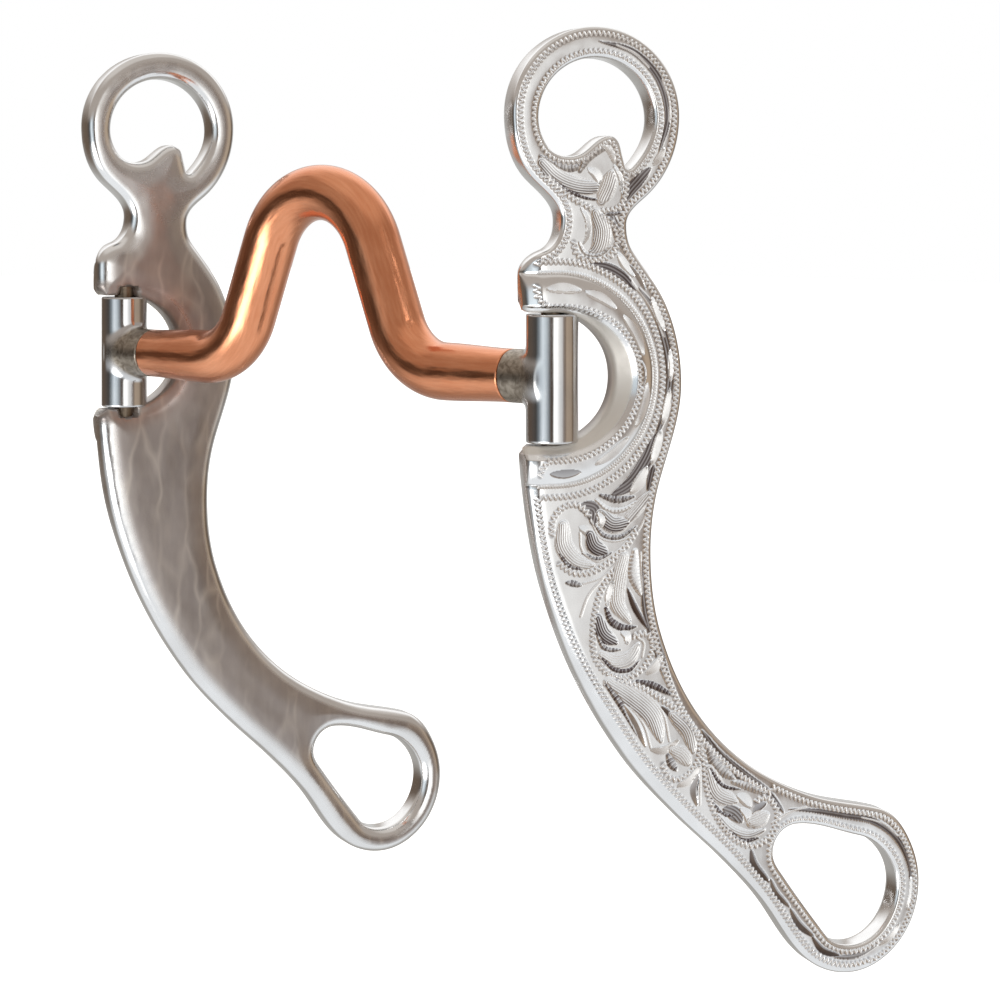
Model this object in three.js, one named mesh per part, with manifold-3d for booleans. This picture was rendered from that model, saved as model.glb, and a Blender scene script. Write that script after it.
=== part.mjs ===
// Loose-jaw western curb bit. Units are millimetres.
// +Z is up, the mouthpiece runs along Y, and the shanks sweep back towards +X.
// The near cheek is on the -Y side and the off cheek on the +Y side. Each cheek swings on an
// upright pin through the barrel of its T-end. The origin is the centre of the bit's own box.
import * as THREE from "three";
import { mergeVertices } from "three/addons/utils/BufferGeometryUtils.js";
import Module from "manifold-3d";

// ---- driving dimensions ----
const pinSpacing = 139.7; // from pin axis to pin axis: a 127 mm mouth plus the barrels
const nearSwing = -29.6; // how far the near cheek is turned about its pin at rest, degrees
const offSwing = -22.6; // the same for the off cheek
const plateThickness = 8.5;
const plateEdge = 1.3; // size of the rounded edge all round a cheek
const windowRadius = 14.3; // D-shaped window between the two lugs of a cheek
const windowCentre = -0.8; // the window's centre lies this far in front of the pin axis
const windowBevelDepth = 1.6; // the window's straight wall stops this far below the outer face
const windowBevelSpread = 1.2; // the bevel above it opens out this much for each unit it rises
const bezelRadius = 19.9; // middle of the raised half-round band round the window
const bezelWidth = 5.8;
const bezelRise = 1.5; // how far the band stands above the outer face
const barrelRadius = 5.7;
const barrelHeight = 27.7;
const barrelChamfer = 0.4;
const turningGap = 0.8; // room round the barrel where the cheek turns
const scoopRadius = 4.6; // arched scoop on the inner side of each lug, over the end of the barrel
const scoopDepth = 2; // how deep the scoop goes into the lug's inner face
const scoopReach = 2.2; // how far the scoop's top goes past the window's edge
const stubEnd = 11; // where a T-end's stub meets the copper, from the pin axis
const stubFillet = 3.5; // fillet from the stub up and down the barrel
const barRadius = 5.9; // outside of the copper at its ends, flush with the stubs
const barSwell = 0.6; // how much thicker the copper is through the port
const swellLength = 20; // the copper reaches that thickness this far in from its ends
const coreRadius = 3.8; // steel rod inside the copper
const socketBottom = 4.6; // the rod's socket in a stub starts this far from the pin axis
const pinRadius = 2.4;
const pinReach = 8; // how far a pin stands in each lug
const fixedGap = 0.15; // round a piece that is fixed in its neighbour
const runningGap = 0.08; // round a pin that turns in its barrel
const portHeight = 40.1; // top of the port's centre line above the pins' mid-height
const portSlope = 68; // slope of the port's legs, degrees
const portTopRadius = 18;
const portFootRadius = 16;
const roundSides = 48; // facets round a pin, barrel or bore
const boreSides = 24; // facets round a scoop or socket
const sleeveSides = 24;
const coreSides = 16;
const filletRings = 8; // sections along a T-end's fillet
const bezelSteps = 40; // sections along the band round the window
const portSteps = 60; // sections along the bent bar
const overcut = 12; // how far a cutter stands out of what it cuts

// ---- cheek outline: x backwards, y up from the middle of the pin, and the heading in degrees ----
// The lines between these points are arcs or gentle S-curves that leave and arrive on the headings.
const cheekOutline = [
  [28.6, 56.6, 90], // headstall ring
  [9.2, 75.8, 180],
  [-10.3, 56.8, 270],
  [-5.4, 42.8, -45],
  [0.9, 34.2, -90], // front of the neck
  [-2.9, 27.5, 200],
  [-7.6, 22, 270], // front of the upper lug
  [-7.4, 0, 270],
  [-7, -16, 273], // front of the lower lug
  [-6.4, -25.1, -83], // front edge of the shank
  [-2.4, -45.4, -73],
  [5.4, -65.2, -63],
  [16, -82.4, -54],
  [28.1, -95.9, -45],
  [40, -107.1, -45],
  [50, -118.2, -54],
  [60.7, -131.6, -36], // rein loop
  [70.8, -134.9, 0],
  [82, -130.2, 43],
  [88, -115.8, 90],
  [84.7, -104.7, 120],
  [78, -98.8, 163],
  [64.9, -95.7, 165],
  [49.4, -88.9, 150], // back edge of the shank
  [34.2, -75.6, 128],
  [24.1, -55.5, 107],
  [21.8, -38, 90],
  [24, -22.6, 73],
  [29.1, -1.7, 90], // bulge behind the window
  [25.4, 15.6, 115],
  [17.6, 27.1, 125],
  [16, 32.9, 90], // back of the neck
  [20.7, 39.1, 40],
];
// The ring's opening, with a leaf-shaped cusp standing up from its lower side.
const ringOpening = [
  [22.5, 56, 90],
  [9.1, 69.1, 180],
  [-4.3, 56, 270],
  [-2.4, 50.1, -55],
  [1.8, 47.8, -5],
  [6.2, 48.8, 33],
  [12.1, 52.3, 0],
  [14.7, 49.5, -78],
  [15.7, 45.6, -75],
  [17.6, 45.7, 45],
];
// The rein loop's opening, a rounded triangle.
const loopOpening = [
  [57, -100.4, 180],
  [51.2, -106.3, -90],
  [53.8, -111.7, -55],
  [64.3, -125.8, -52],
  [71, -128.7, 0],
  [82.1, -116, 90],
  [77.5, -106.9, 140],
  [72.5, -104.3, 165],
];

// ---- materials ----
const aluminium = () =>
  new THREE.MeshStandardMaterial({ color: 0xc8c6c3, roughness: 0.3, metalness: 1 });
const steel = () =>
  new THREE.MeshStandardMaterial({ color: 0x9a9ca0, roughness: 0.22, metalness: 1 });
const copper = () =>
  new THREE.MeshStandardMaterial({ color: 0xb9683c, roughness: 0.25, metalness: 1 });

// ---- joining and cutting ----
const wasm = await Module();
wasm.setup();

function toSolid(geometry) {
  const bare = geometry.clone();
  bare.deleteAttribute("normal");
  bare.deleteAttribute("uv");
  const merged = mergeVertices(bare, 1e-4);
  return new wasm.Manifold(
    new wasm.Mesh({
      numProp: 3,
      vertProperties: new Float32Array(merged.attributes.position.array),
      triVerts: new Uint32Array(merged.index.array),
    }),
  );
}

function toGeometry(solid) {
  const mesh = solid.getMesh();
  const geometry = new THREE.BufferGeometry();
  geometry.setAttribute("position", new THREE.BufferAttribute(mesh.vertProperties, 3));
  geometry.setIndex(new THREE.BufferAttribute(mesh.triVerts, 1));
  return geometry;
}

function namedMesh(name, geometry, material) {
  const shaded = geometry.index ? geometry.toNonIndexed() : geometry;
  shaded.computeVertexNormals();
  const mesh = new THREE.Mesh(shaded, material);
  mesh.name = name;
  return mesh;
}

// ---- outlines ----
const radians = THREE.MathUtils.degToRad;

// Bezier handles of this share of the chord make a true arc for a turn of that many degrees.
function handleShare(turnDegrees) {
  const turn = radians(turnDegrees);
  return turn < 0.001 ? 1 / 3 : ((4 / 3) * Math.tan(turn / 4)) / (2 * Math.sin(turn / 2));
}

function drawOutline(path, points) {
  path.moveTo(points[0][0], points[0][1]);
  points.forEach(([x, y, heading], i) => {
    const [nextX, nextY, nextHeading] = points[(i + 1) % points.length];
    const turn = Math.abs(THREE.MathUtils.euclideanModulo(nextHeading - heading + 180, 360) - 180);
    const reach = handleShare(turn) * Math.hypot(nextX - x, nextY - y);
    const leave = radians(heading);
    const arrive = radians(nextHeading);
    path.bezierCurveTo(
      x + reach * Math.cos(leave),
      y + reach * Math.sin(leave),
      nextX - reach * Math.cos(arrive),
      nextY - reach * Math.sin(arrive),
      nextX,
      nextY,
    );
  });
  return path;
}

// A plane curve that goes round the window: out along the upper lug, round, and back along the lower.
function bezelPath() {
  const front = cheekOutline[6][0] + plateEdge;
  const quarterTurn = Math.PI / 2;
  const path = new THREE.CurvePath();
  path.add(
    new THREE.LineCurve3(
      new THREE.Vector3(front, bezelRadius, plateThickness / 2),
      new THREE.Vector3(0, bezelRadius, plateThickness / 2),
    ),
  );
  const quarter = (start) => {
    const arc = new THREE.Curve();
    arc.getPoint = (t) => {
      const angle = start - t * quarterTurn;
      return new THREE.Vector3(
        bezelRadius * Math.cos(angle),
        bezelRadius * Math.sin(angle),
        plateThickness / 2,
      );
    };
    return arc;
  };
  path.add(quarter(quarterTurn));
  path.add(quarter(0));
  path.add(
    new THREE.LineCurve3(
      new THREE.Vector3(0, -bezelRadius, plateThickness / 2),
      new THREE.Vector3(front, -bezelRadius, plateThickness / 2),
    ),
  );
  return path;
}

// ---- cheek: plate with ring, lugs, shank and loop, then the bezel, the window and the pin's bore ----
// Made flat, with x backwards, y up and z out of the engraved face, then stood up in world axes.
function cheekGeometry() {
  const shape = drawOutline(new THREE.Shape(), cheekOutline);
  shape.holes.push(drawOutline(new THREE.Path(), ringOpening));
  shape.holes.push(drawOutline(new THREE.Path(), loopOpening));
  const plate = new THREE.ExtrudeGeometry(shape, {
    depth: plateThickness - 2 * plateEdge,
    bevelThickness: plateEdge,
    bevelSize: plateEdge,
    bevelOffset: -plateEdge,
    bevelSegments: 2,
    curveSegments: 5,
  });
  plate.translate(0, 0, plateEdge - plateThickness / 2);

  const section = new THREE.Shape();
  section.absellipse(0, 0, bezelRise, bezelWidth / 2, 0, 2 * Math.PI);
  const bezel = new THREE.ExtrudeGeometry(section, {
    steps: bezelSteps,
    curveSegments: 7,
    extrudePath: bezelPath(),
  });

  // The window is a straight-sided hole up to a bevel that opens out to the bezel's crest.
  const straightTop = plateThickness / 2 - windowBevelDepth;
  const coneTop = overcut;
  const windowCut = new THREE.LatheGeometry(
    [
      new THREE.Vector2(0, -coneTop),
      new THREE.Vector2(windowRadius, -coneTop),
      new THREE.Vector2(windowRadius, straightTop),
      new THREE.Vector2(windowRadius + (coneTop - straightTop) * windowBevelSpread, coneTop),
      new THREE.Vector2(0, coneTop),
    ],
    roundSides,
  );
  windowCut.rotateX(Math.PI / 2);
  windowCut.translate(windowCentre, 0, 0);

  // In front of the pin the window runs out straight between the lugs.
  const frontLength = 2 * overcut;
  const frontCut = new THREE.BoxGeometry(frontLength, 2 * windowRadius, 2 * overcut);
  frontCut.translate(windowCentre - frontLength / 2, 0, 0);

  // Room for the barrel to turn in, which squares off the window next to the lugs.
  const turningRadius = barrelRadius + turningGap;
  const turningRoom = new THREE.CylinderGeometry(
    turningRadius,
    turningRadius,
    2 * windowRadius,
    roundSides,
  );

  const bore = new THREE.CylinderGeometry(
    pinRadius + fixedGap,
    pinRadius + fixedGap,
    2 * (windowRadius + pinReach + fixedGap),
    roundSides,
  );

  const scoopLength = 2 * scoopDepth; // half of it stands out of the inner face
  const scoop = new THREE.CylinderGeometry(scoopRadius, scoopRadius, scoopLength, boreSides);
  scoop.rotateX(Math.PI / 2);
  const scoopHeight = windowRadius + scoopReach - scoopRadius;
  const upperScoop = scoop.clone().translate(0, scoopHeight, -plateThickness / 2);
  const lowerScoop = scoop.clone().translate(0, -scoopHeight, -plateThickness / 2);

  let cheek = toSolid(plate).add(toSolid(bezel));
  for (const cutter of [windowCut, frontCut, turningRoom, bore, upperScoop, lowerScoop]) {
    cheek = cheek.subtract(toSolid(cutter));
  }
  return toGeometry(cheek).rotateX(Math.PI / 2);
}

// ---- T-end: upright barrel with a filleted stub along +Y that takes the core ----
function tEndGeometry() {
  const half = barrelHeight / 2;
  const barrel = new THREE.LatheGeometry(
    [
      new THREE.Vector2(0, -half),
      new THREE.Vector2(barrelRadius - barrelChamfer, -half),
      new THREE.Vector2(barrelRadius, barrelChamfer - half),
      new THREE.Vector2(barrelRadius, half - barrelChamfer),
      new THREE.Vector2(barrelRadius - barrelChamfer, half),
      new THREE.Vector2(0, half),
    ],
    roundSides,
  );
  barrel.rotateX(Math.PI / 2);

  // The stub is round where it meets the copper and grows taller, not wider, towards the barrel.
  const filletEnd = barrelRadius + stubFillet;
  const stubRadius = barrelRadius - fixedGap; // just inside the barrel's sides
  const profile = [new THREE.Vector2(0, 0), new THREE.Vector2(stubRadius, 0)];
  for (let i = 0; i <= filletRings; i++) {
    const along = barrelRadius + (stubFillet * i) / filletRings;
    const width = THREE.MathUtils.lerp(stubRadius, barRadius, i / filletRings);
    profile.push(new THREE.Vector2(width, along));
  }
  profile.push(new THREE.Vector2(barRadius, stubEnd - fixedGap));
  profile.push(new THREE.Vector2(0, stubEnd - fixedGap));
  const stub = new THREE.LatheGeometry(profile, roundSides);
  const place = stub.attributes.position;
  for (let i = 0; i < place.count; i++) {
    const back = Math.max(0, filletEnd - Math.max(place.getY(i), barrelRadius));
    const rise = stubFillet - Math.sqrt(stubFillet ** 2 - back ** 2);
    place.setZ(i, place.getZ(i) * (1 + rise / barRadius));
  }

  const barrelBore = pinRadius / Math.cos(Math.PI / roundSides) + runningGap;
  const bore = new THREE.CylinderGeometry(barrelBore, barrelBore, 2 * barrelHeight, roundSides);
  bore.rotateX(Math.PI / 2);
  const socketRadius = coreRadius + fixedGap;
  const socketLength = stubEnd;
  const socket = new THREE.CylinderGeometry(socketRadius, socketRadius, socketLength, boreSides);
  socket.translate(0, socketBottom + socketLength / 2, 0);

  const solid = toSolid(barrel).add(toSolid(stub)).subtract(toSolid(bore)).subtract(toSolid(socket));
  return toGeometry(solid);
}

// ---- the mouthpiece's centre line: level bars, arched feet, straight legs and a round top ----
// It runs from one end at -Y to the other at +Y; reach is how far each end is from the middle.
class PortCurve extends THREE.Curve {
  constructor(reach) {
    super();
    const slope = radians(portSlope);
    const topDrop = portTopRadius * (1 - Math.cos(slope));
    const footRise = portFootRadius * (1 - Math.cos(slope));
    this.slope = slope;
    this.leg = (portHeight - topDrop - footRise) / Math.sin(slope);
    this.footAt =
      (portTopRadius + portFootRadius) * Math.sin(slope) + this.leg * Math.cos(slope);
    this.topArc = portTopRadius * slope;
    this.footArc = portFootRadius * slope;
    this.half = this.topArc + this.leg + this.footArc + reach - this.footAt;
  }

  // A point on one half, a given length along the line from the top: [distance out, height].
  halfPoint(length) {
    const { slope, leg, footAt, topArc, footArc } = this;
    if (length < topArc) {
      const turn = length / portTopRadius;
      return [portTopRadius * Math.sin(turn), portHeight - portTopRadius * (1 - Math.cos(turn))];
    }
    if (length < topArc + leg) {
      const along = length - topArc;
      return [
        portTopRadius * Math.sin(slope) + along * Math.cos(slope),
        portHeight - portTopRadius * (1 - Math.cos(slope)) - along * Math.sin(slope),
      ];
    }
    if (length < topArc + leg + footArc) {
      const turn = slope - (length - topArc - leg) / portFootRadius;
      return [footAt - portFootRadius * Math.sin(turn), portFootRadius * (1 - Math.cos(turn))];
    }
    return [footAt + length - topArc - leg - footArc, 0];
  }

  getPoint(t) {
    const length = (2 * t - 1) * this.half;
    const [out, height] = this.halfPoint(Math.abs(length));
    return new THREE.Vector3(0, Math.sign(length) * out, height);
  }
}

// A solid rod or a tube along the port's centre line. Its radius may change along the line.
function barAlongPort(reach, radiusAt, boreRadius, sides) {
  const curve = new PortCurve(reach);
  const rings = [];
  for (let i = 0; i <= portSteps; i++) {
    const t = i / portSteps;
    const radius = radiusAt(Math.min(t, 1 - t) * 2 * curve.half);
    const middle = curve.getPoint(t);
    const ahead = curve.getTangent(t);
    const across = new THREE.Vector3(0, -ahead.z, ahead.y);
    const circle = (size) =>
      Array.from({ length: sides }, (_, k) => {
        const angle = (2 * Math.PI * k) / sides;
        const point = middle.clone().addScaledVector(across, size * Math.cos(angle));
        return point.setX(size * Math.sin(angle));
      });
    rings.push({ outside: circle(radius), inside: boreRadius > 0 ? circle(boreRadius) : middle });
  }
  const positions = [];
  const triangle = (a, b, c) => positions.push(...a.toArray(), ...b.toArray(), ...c.toArray());
  const quad = (a, b, c, d) => {
    triangle(a, b, c);
    triangle(a, c, d);
  };
  for (let k = 0; k < sides; k++) {
    const m = (k + 1) % sides;
    for (let i = 0; i < portSteps; i++) {
      const [here, there] = [rings[i], rings[i + 1]];
      quad(here.outside[k], here.outside[m], there.outside[m], there.outside[k]);
      if (boreRadius > 0) {
        quad(here.inside[m], here.inside[k], there.inside[k], there.inside[m]);
      }
    }
    const [first, last] = [rings[0], rings[portSteps]];
    if (boreRadius > 0) {
      quad(first.inside[k], first.inside[m], first.outside[m], first.outside[k]);
      quad(last.inside[m], last.inside[k], last.outside[k], last.outside[m]);
    } else {
      triangle(first.inside, first.outside[m], first.outside[k]);
      triangle(last.inside, last.outside[k], last.outside[m]);
    }
  }
  const geometry = new THREE.BufferGeometry();
  geometry.setAttribute("position", new THREE.Float32BufferAttribute(positions, 3));
  return geometry;
}

function pinGeometry() {
  const length = 2 * (windowRadius + pinReach);
  const pin = new THREE.CylinderGeometry(pinRadius, pinRadius, length, roundSides);
  return pin.rotateX(Math.PI / 2);
}

// ---- assembly ----
const halfSpacing = pinSpacing / 2;

// The off cheek is the near cheek's mirror image.
function cheekSide(side, mirror, y, swing) {
  const group = new THREE.Group();
  const cheek = namedMesh(side + "_cheek", cheekGeometry(), aluminium());
  cheek.scale.y = mirror;
  group.add(cheek);
  group.add(namedMesh(side + "_hinge_pin", pinGeometry(), steel()));
  group.position.y = y;
  group.rotation.z = radians(swing);
  return group;
}

const mouthpiece = new THREE.Group();
const nearEnd = namedMesh("near_t_end", tEndGeometry(), steel());
nearEnd.position.y = -halfSpacing;
const offEnd = namedMesh("off_t_end", tEndGeometry(), steel());
offEnd.position.y = halfSpacing;
offEnd.rotation.z = Math.PI;
mouthpiece.add(nearEnd, offEnd);
const sleeveRadiusAt = (fromEnd) =>
  barRadius + barSwell * THREE.MathUtils.smoothstep(fromEnd, 0, swellLength);
const sleeve = barAlongPort(
  halfSpacing - stubEnd,
  sleeveRadiusAt,
  coreRadius + fixedGap,
  sleeveSides,
);
mouthpiece.add(namedMesh("copper_sleeve", sleeve, copper()));
const coreReach = halfSpacing - socketBottom - fixedGap;
const core = barAlongPort(coreReach, () => coreRadius, 0, coreSides);
mouthpiece.add(namedMesh("mouthpiece_core", core, steel()));

const bit = new THREE.Group();
bit.add(mouthpiece);
bit.add(cheekSide("near", 1, -halfSpacing, nearSwing));
bit.add(cheekSide("off", -1, halfSpacing, offSwing));

// The bit's box is centred on the origin.
bit.updateMatrixWorld(true);
const box = new THREE.Box3().setFromObject(bit, true);
bit.position.copy(box.getCenter(new THREE.Vector3()).negate());

export default bit;
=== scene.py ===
import math

import bpy
import numpy as np
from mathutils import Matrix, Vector


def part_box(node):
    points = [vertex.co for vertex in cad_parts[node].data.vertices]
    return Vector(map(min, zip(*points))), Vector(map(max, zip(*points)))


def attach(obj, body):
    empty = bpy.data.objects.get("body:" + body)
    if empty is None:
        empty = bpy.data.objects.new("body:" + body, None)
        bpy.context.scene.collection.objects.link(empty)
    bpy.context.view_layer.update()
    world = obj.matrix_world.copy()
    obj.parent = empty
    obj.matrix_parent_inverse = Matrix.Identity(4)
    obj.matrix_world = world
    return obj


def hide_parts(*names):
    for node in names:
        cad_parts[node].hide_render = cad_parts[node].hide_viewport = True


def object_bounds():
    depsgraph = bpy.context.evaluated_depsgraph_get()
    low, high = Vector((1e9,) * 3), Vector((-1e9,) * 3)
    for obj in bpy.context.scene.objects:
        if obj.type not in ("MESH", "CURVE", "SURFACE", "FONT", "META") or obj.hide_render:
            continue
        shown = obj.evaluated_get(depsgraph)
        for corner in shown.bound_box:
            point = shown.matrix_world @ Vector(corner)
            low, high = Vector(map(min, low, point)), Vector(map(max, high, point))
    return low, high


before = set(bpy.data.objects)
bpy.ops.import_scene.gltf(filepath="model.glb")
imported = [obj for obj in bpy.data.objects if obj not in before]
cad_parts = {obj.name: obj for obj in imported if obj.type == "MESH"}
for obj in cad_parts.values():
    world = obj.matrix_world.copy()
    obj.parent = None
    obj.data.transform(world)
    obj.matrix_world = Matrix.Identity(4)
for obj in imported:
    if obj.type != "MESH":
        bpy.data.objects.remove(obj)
cad_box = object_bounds()

# ---------------------------------------------------------------- dimensions
# Cheeks are drawn in millimetres: u backwards from the pin, v up, n out of the engraved face.
# Angles are in degrees unless they are turned to radians, and the swings are those of the CAD model.
MM = 0.001
THICK = 8.5  # of the cheek's plate
FACE = THICK / 2
WINDOW_R = 14.3
WINDOW_U = -0.8  # where the middle of the window's arc is
NEAR_SWING = -29.6
OFF_SWING = -22.6
BARREL_R = 5.7
BARREL_H = 27.7
STUB_END = 11.0  # from the pin's axis, as is the socket's bottom
SOCKET_BOTTOM = 4.6
BAR_R = 5.9  # at the bar's ends, which thickens by the swell over the swell's length
BAR_SWELL = 0.6
SWELL_LENGTH = 20.0
PIN_R = 2.4
CORE_R = 3.8
GAP = 0.15
PORT_HEIGHT = 40.1
PORT_SLOPE = math.radians(68)
PORT_TOP_R = 18.0
PORT_FOOT_R = 16.0

FINE = 0.16  # spacing of the engraved face's points
COARSE = 0.45  # spacing of the smooth face's points
OUTLINE_STEP = 0.15  # spacing of the outlines' points
OUTER_EDGE = 0.9  # rounding of the engraved face's edges
INNER_EDGE = 1.8  # rounding of the smooth face's edges

near_pin = sum(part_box("near_hinge_pin"), Vector()) / 2
off_pin = sum(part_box("off_hinge_pin"), Vector()) / 2

# Points on an outline are u, v and the heading in degrees, with arcs or gentle S-curves between.
CHEEK_OUTLINE = [
    (28.6, 56.6, 90), (9.2, 75.8, 180), (-10.3, 56.8, 270), (-5.4, 42.8, -45),
    (0.9, 34.2, -90), (-2.9, 27.5, 200), (-7.6, 22.0, 270), (-7.4, 15.6, -88),
    (-6.4, 14.3, 0), (-0.8, 14.3, 0), (13.5, 0.0, -90), (-0.8, -14.3, 180),
    (-6.2, -14.3, 180), (-7.2, -15.5, 270), (-6.4, -25.1, -83), (-2.4, -45.4, -73),
    (5.4, -65.2, -63), (16.0, -82.4, -54), (28.1, -95.9, -45), (40.0, -107.1, -45),
    (50.0, -118.2, -54), (60.7, -131.6, -36),
    (70.8, -134.9, 0), (82.0, -130.2, 43), (88.0, -115.8, 90), (84.7, -104.7, 120),
    (78.0, -98.8, 163), (64.9, -95.7, 165), (49.4, -88.9, 150), (34.2, -75.6, 128),
    (24.1, -55.5, 107), (21.8, -38.0, 90), (24.0, -22.6, 73), (29.1, -1.7, 90),
    (25.4, 15.6, 115), (17.6, 27.1, 125), (16.0, 32.9, 90), (20.7, 39.1, 40),
]
RING_OPENING = [
    (22.5, 56.0, 90), (9.1, 69.1, 180), (-4.3, 56.0, 270), (-2.4, 50.1, -55),
    (1.8, 47.8, -5), (6.2, 48.8, 33), (12.1, 52.3, 0), (14.7, 49.5, -78),
    (15.7, 45.6, -75), (17.6, 45.7, 45),
]
LOOP_OPENING = [
    (57.0, -100.4, 180), (51.2, -106.3, -90), (53.8, -111.7, -55), (64.3, -125.8, -52),
    (71.0, -128.7, 0), (82.1, -116.0, 90), (77.5, -106.9, 140), (72.5, -104.3, 165),
]


def smoothstep(low, high, x):
    """0 at low and 1 at high, smoothly between. It falls where high is the smaller."""
    t = np.clip((x - low) / (high - low), 0, 1)
    return t * t * (3 - 2 * t)


# ---------------------------------------------------------------- outlines
def handle_share(turn):
    """The share of a chord that makes Bezier handles draw a true arc through that turn."""
    if turn < 0.001:
        return 1 / 3
    return (4 / 3) * math.tan(turn / 4) / (2 * math.sin(turn / 2))


def bezier(a, b, c, d, count):
    t = np.linspace(0, 1, count, endpoint=False)[:, None]
    s = 1 - t
    return s**3 * a + 3 * s * s * t * b + 3 * s * t * t * c + t**3 * d


def trace(nodes):
    """Points along a closed outline, about one every OUTLINE_STEP."""
    runs = []
    for (x0, y0, h0), (x1, y1, h1) in zip(nodes, nodes[1:] + nodes[:1]):
        start = np.array((x0, y0))
        end = np.array((x1, y1))
        leave = math.radians(h0)
        arrive = math.radians(h1)
        turn = abs((arrive - leave + math.pi) % (2 * math.pi) - math.pi)
        reach = handle_share(turn) * np.linalg.norm(end - start)
        first = start + reach * np.array((math.cos(leave), math.sin(leave)))
        second = end - reach * np.array((math.cos(arrive), math.sin(arrive)))
        count = max(2, int(np.linalg.norm(end - start) / OUTLINE_STEP))
        runs.append(bezier(start, first, second, end, count))
    return np.concatenate(runs)


def lengths_along(points):
    """How far along an open line each of its points is."""
    return np.concatenate(([0], np.cumsum(np.linalg.norm(np.diff(points, axis=0), axis=1))))


def respace(points, spacing):
    """The same open line with points at even spacing."""
    along = lengths_along(points)
    count = max(2, int(round(along[-1] / spacing)) + 1)
    at = np.linspace(0, along[-1], count)
    return np.stack([np.interp(at, along, points[:, i]) for i in (0, 1)], axis=1)


def left_normals(points):
    """Unit vectors to the left of a line, one at each of its points."""
    ahead = np.gradient(points, axis=0)
    ahead /= np.linalg.norm(ahead, axis=1)[:, None] + 1e-12
    return np.stack((-ahead[:, 1], ahead[:, 0]), axis=1)


outer_line = trace(CHEEK_OUTLINE)
ring_line = trace(RING_OPENING)
loop_line = trace(LOOP_OPENING)
outlines = (outer_line, ring_line, loop_line)
edge_start = np.concatenate(outlines)
edge_end = np.concatenate([np.roll(line, -1, axis=0) for line in outlines])


# ---------------------------------------------------------------- height fields
FAR = 99.0  # the distance of a point that is out of reach


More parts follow.
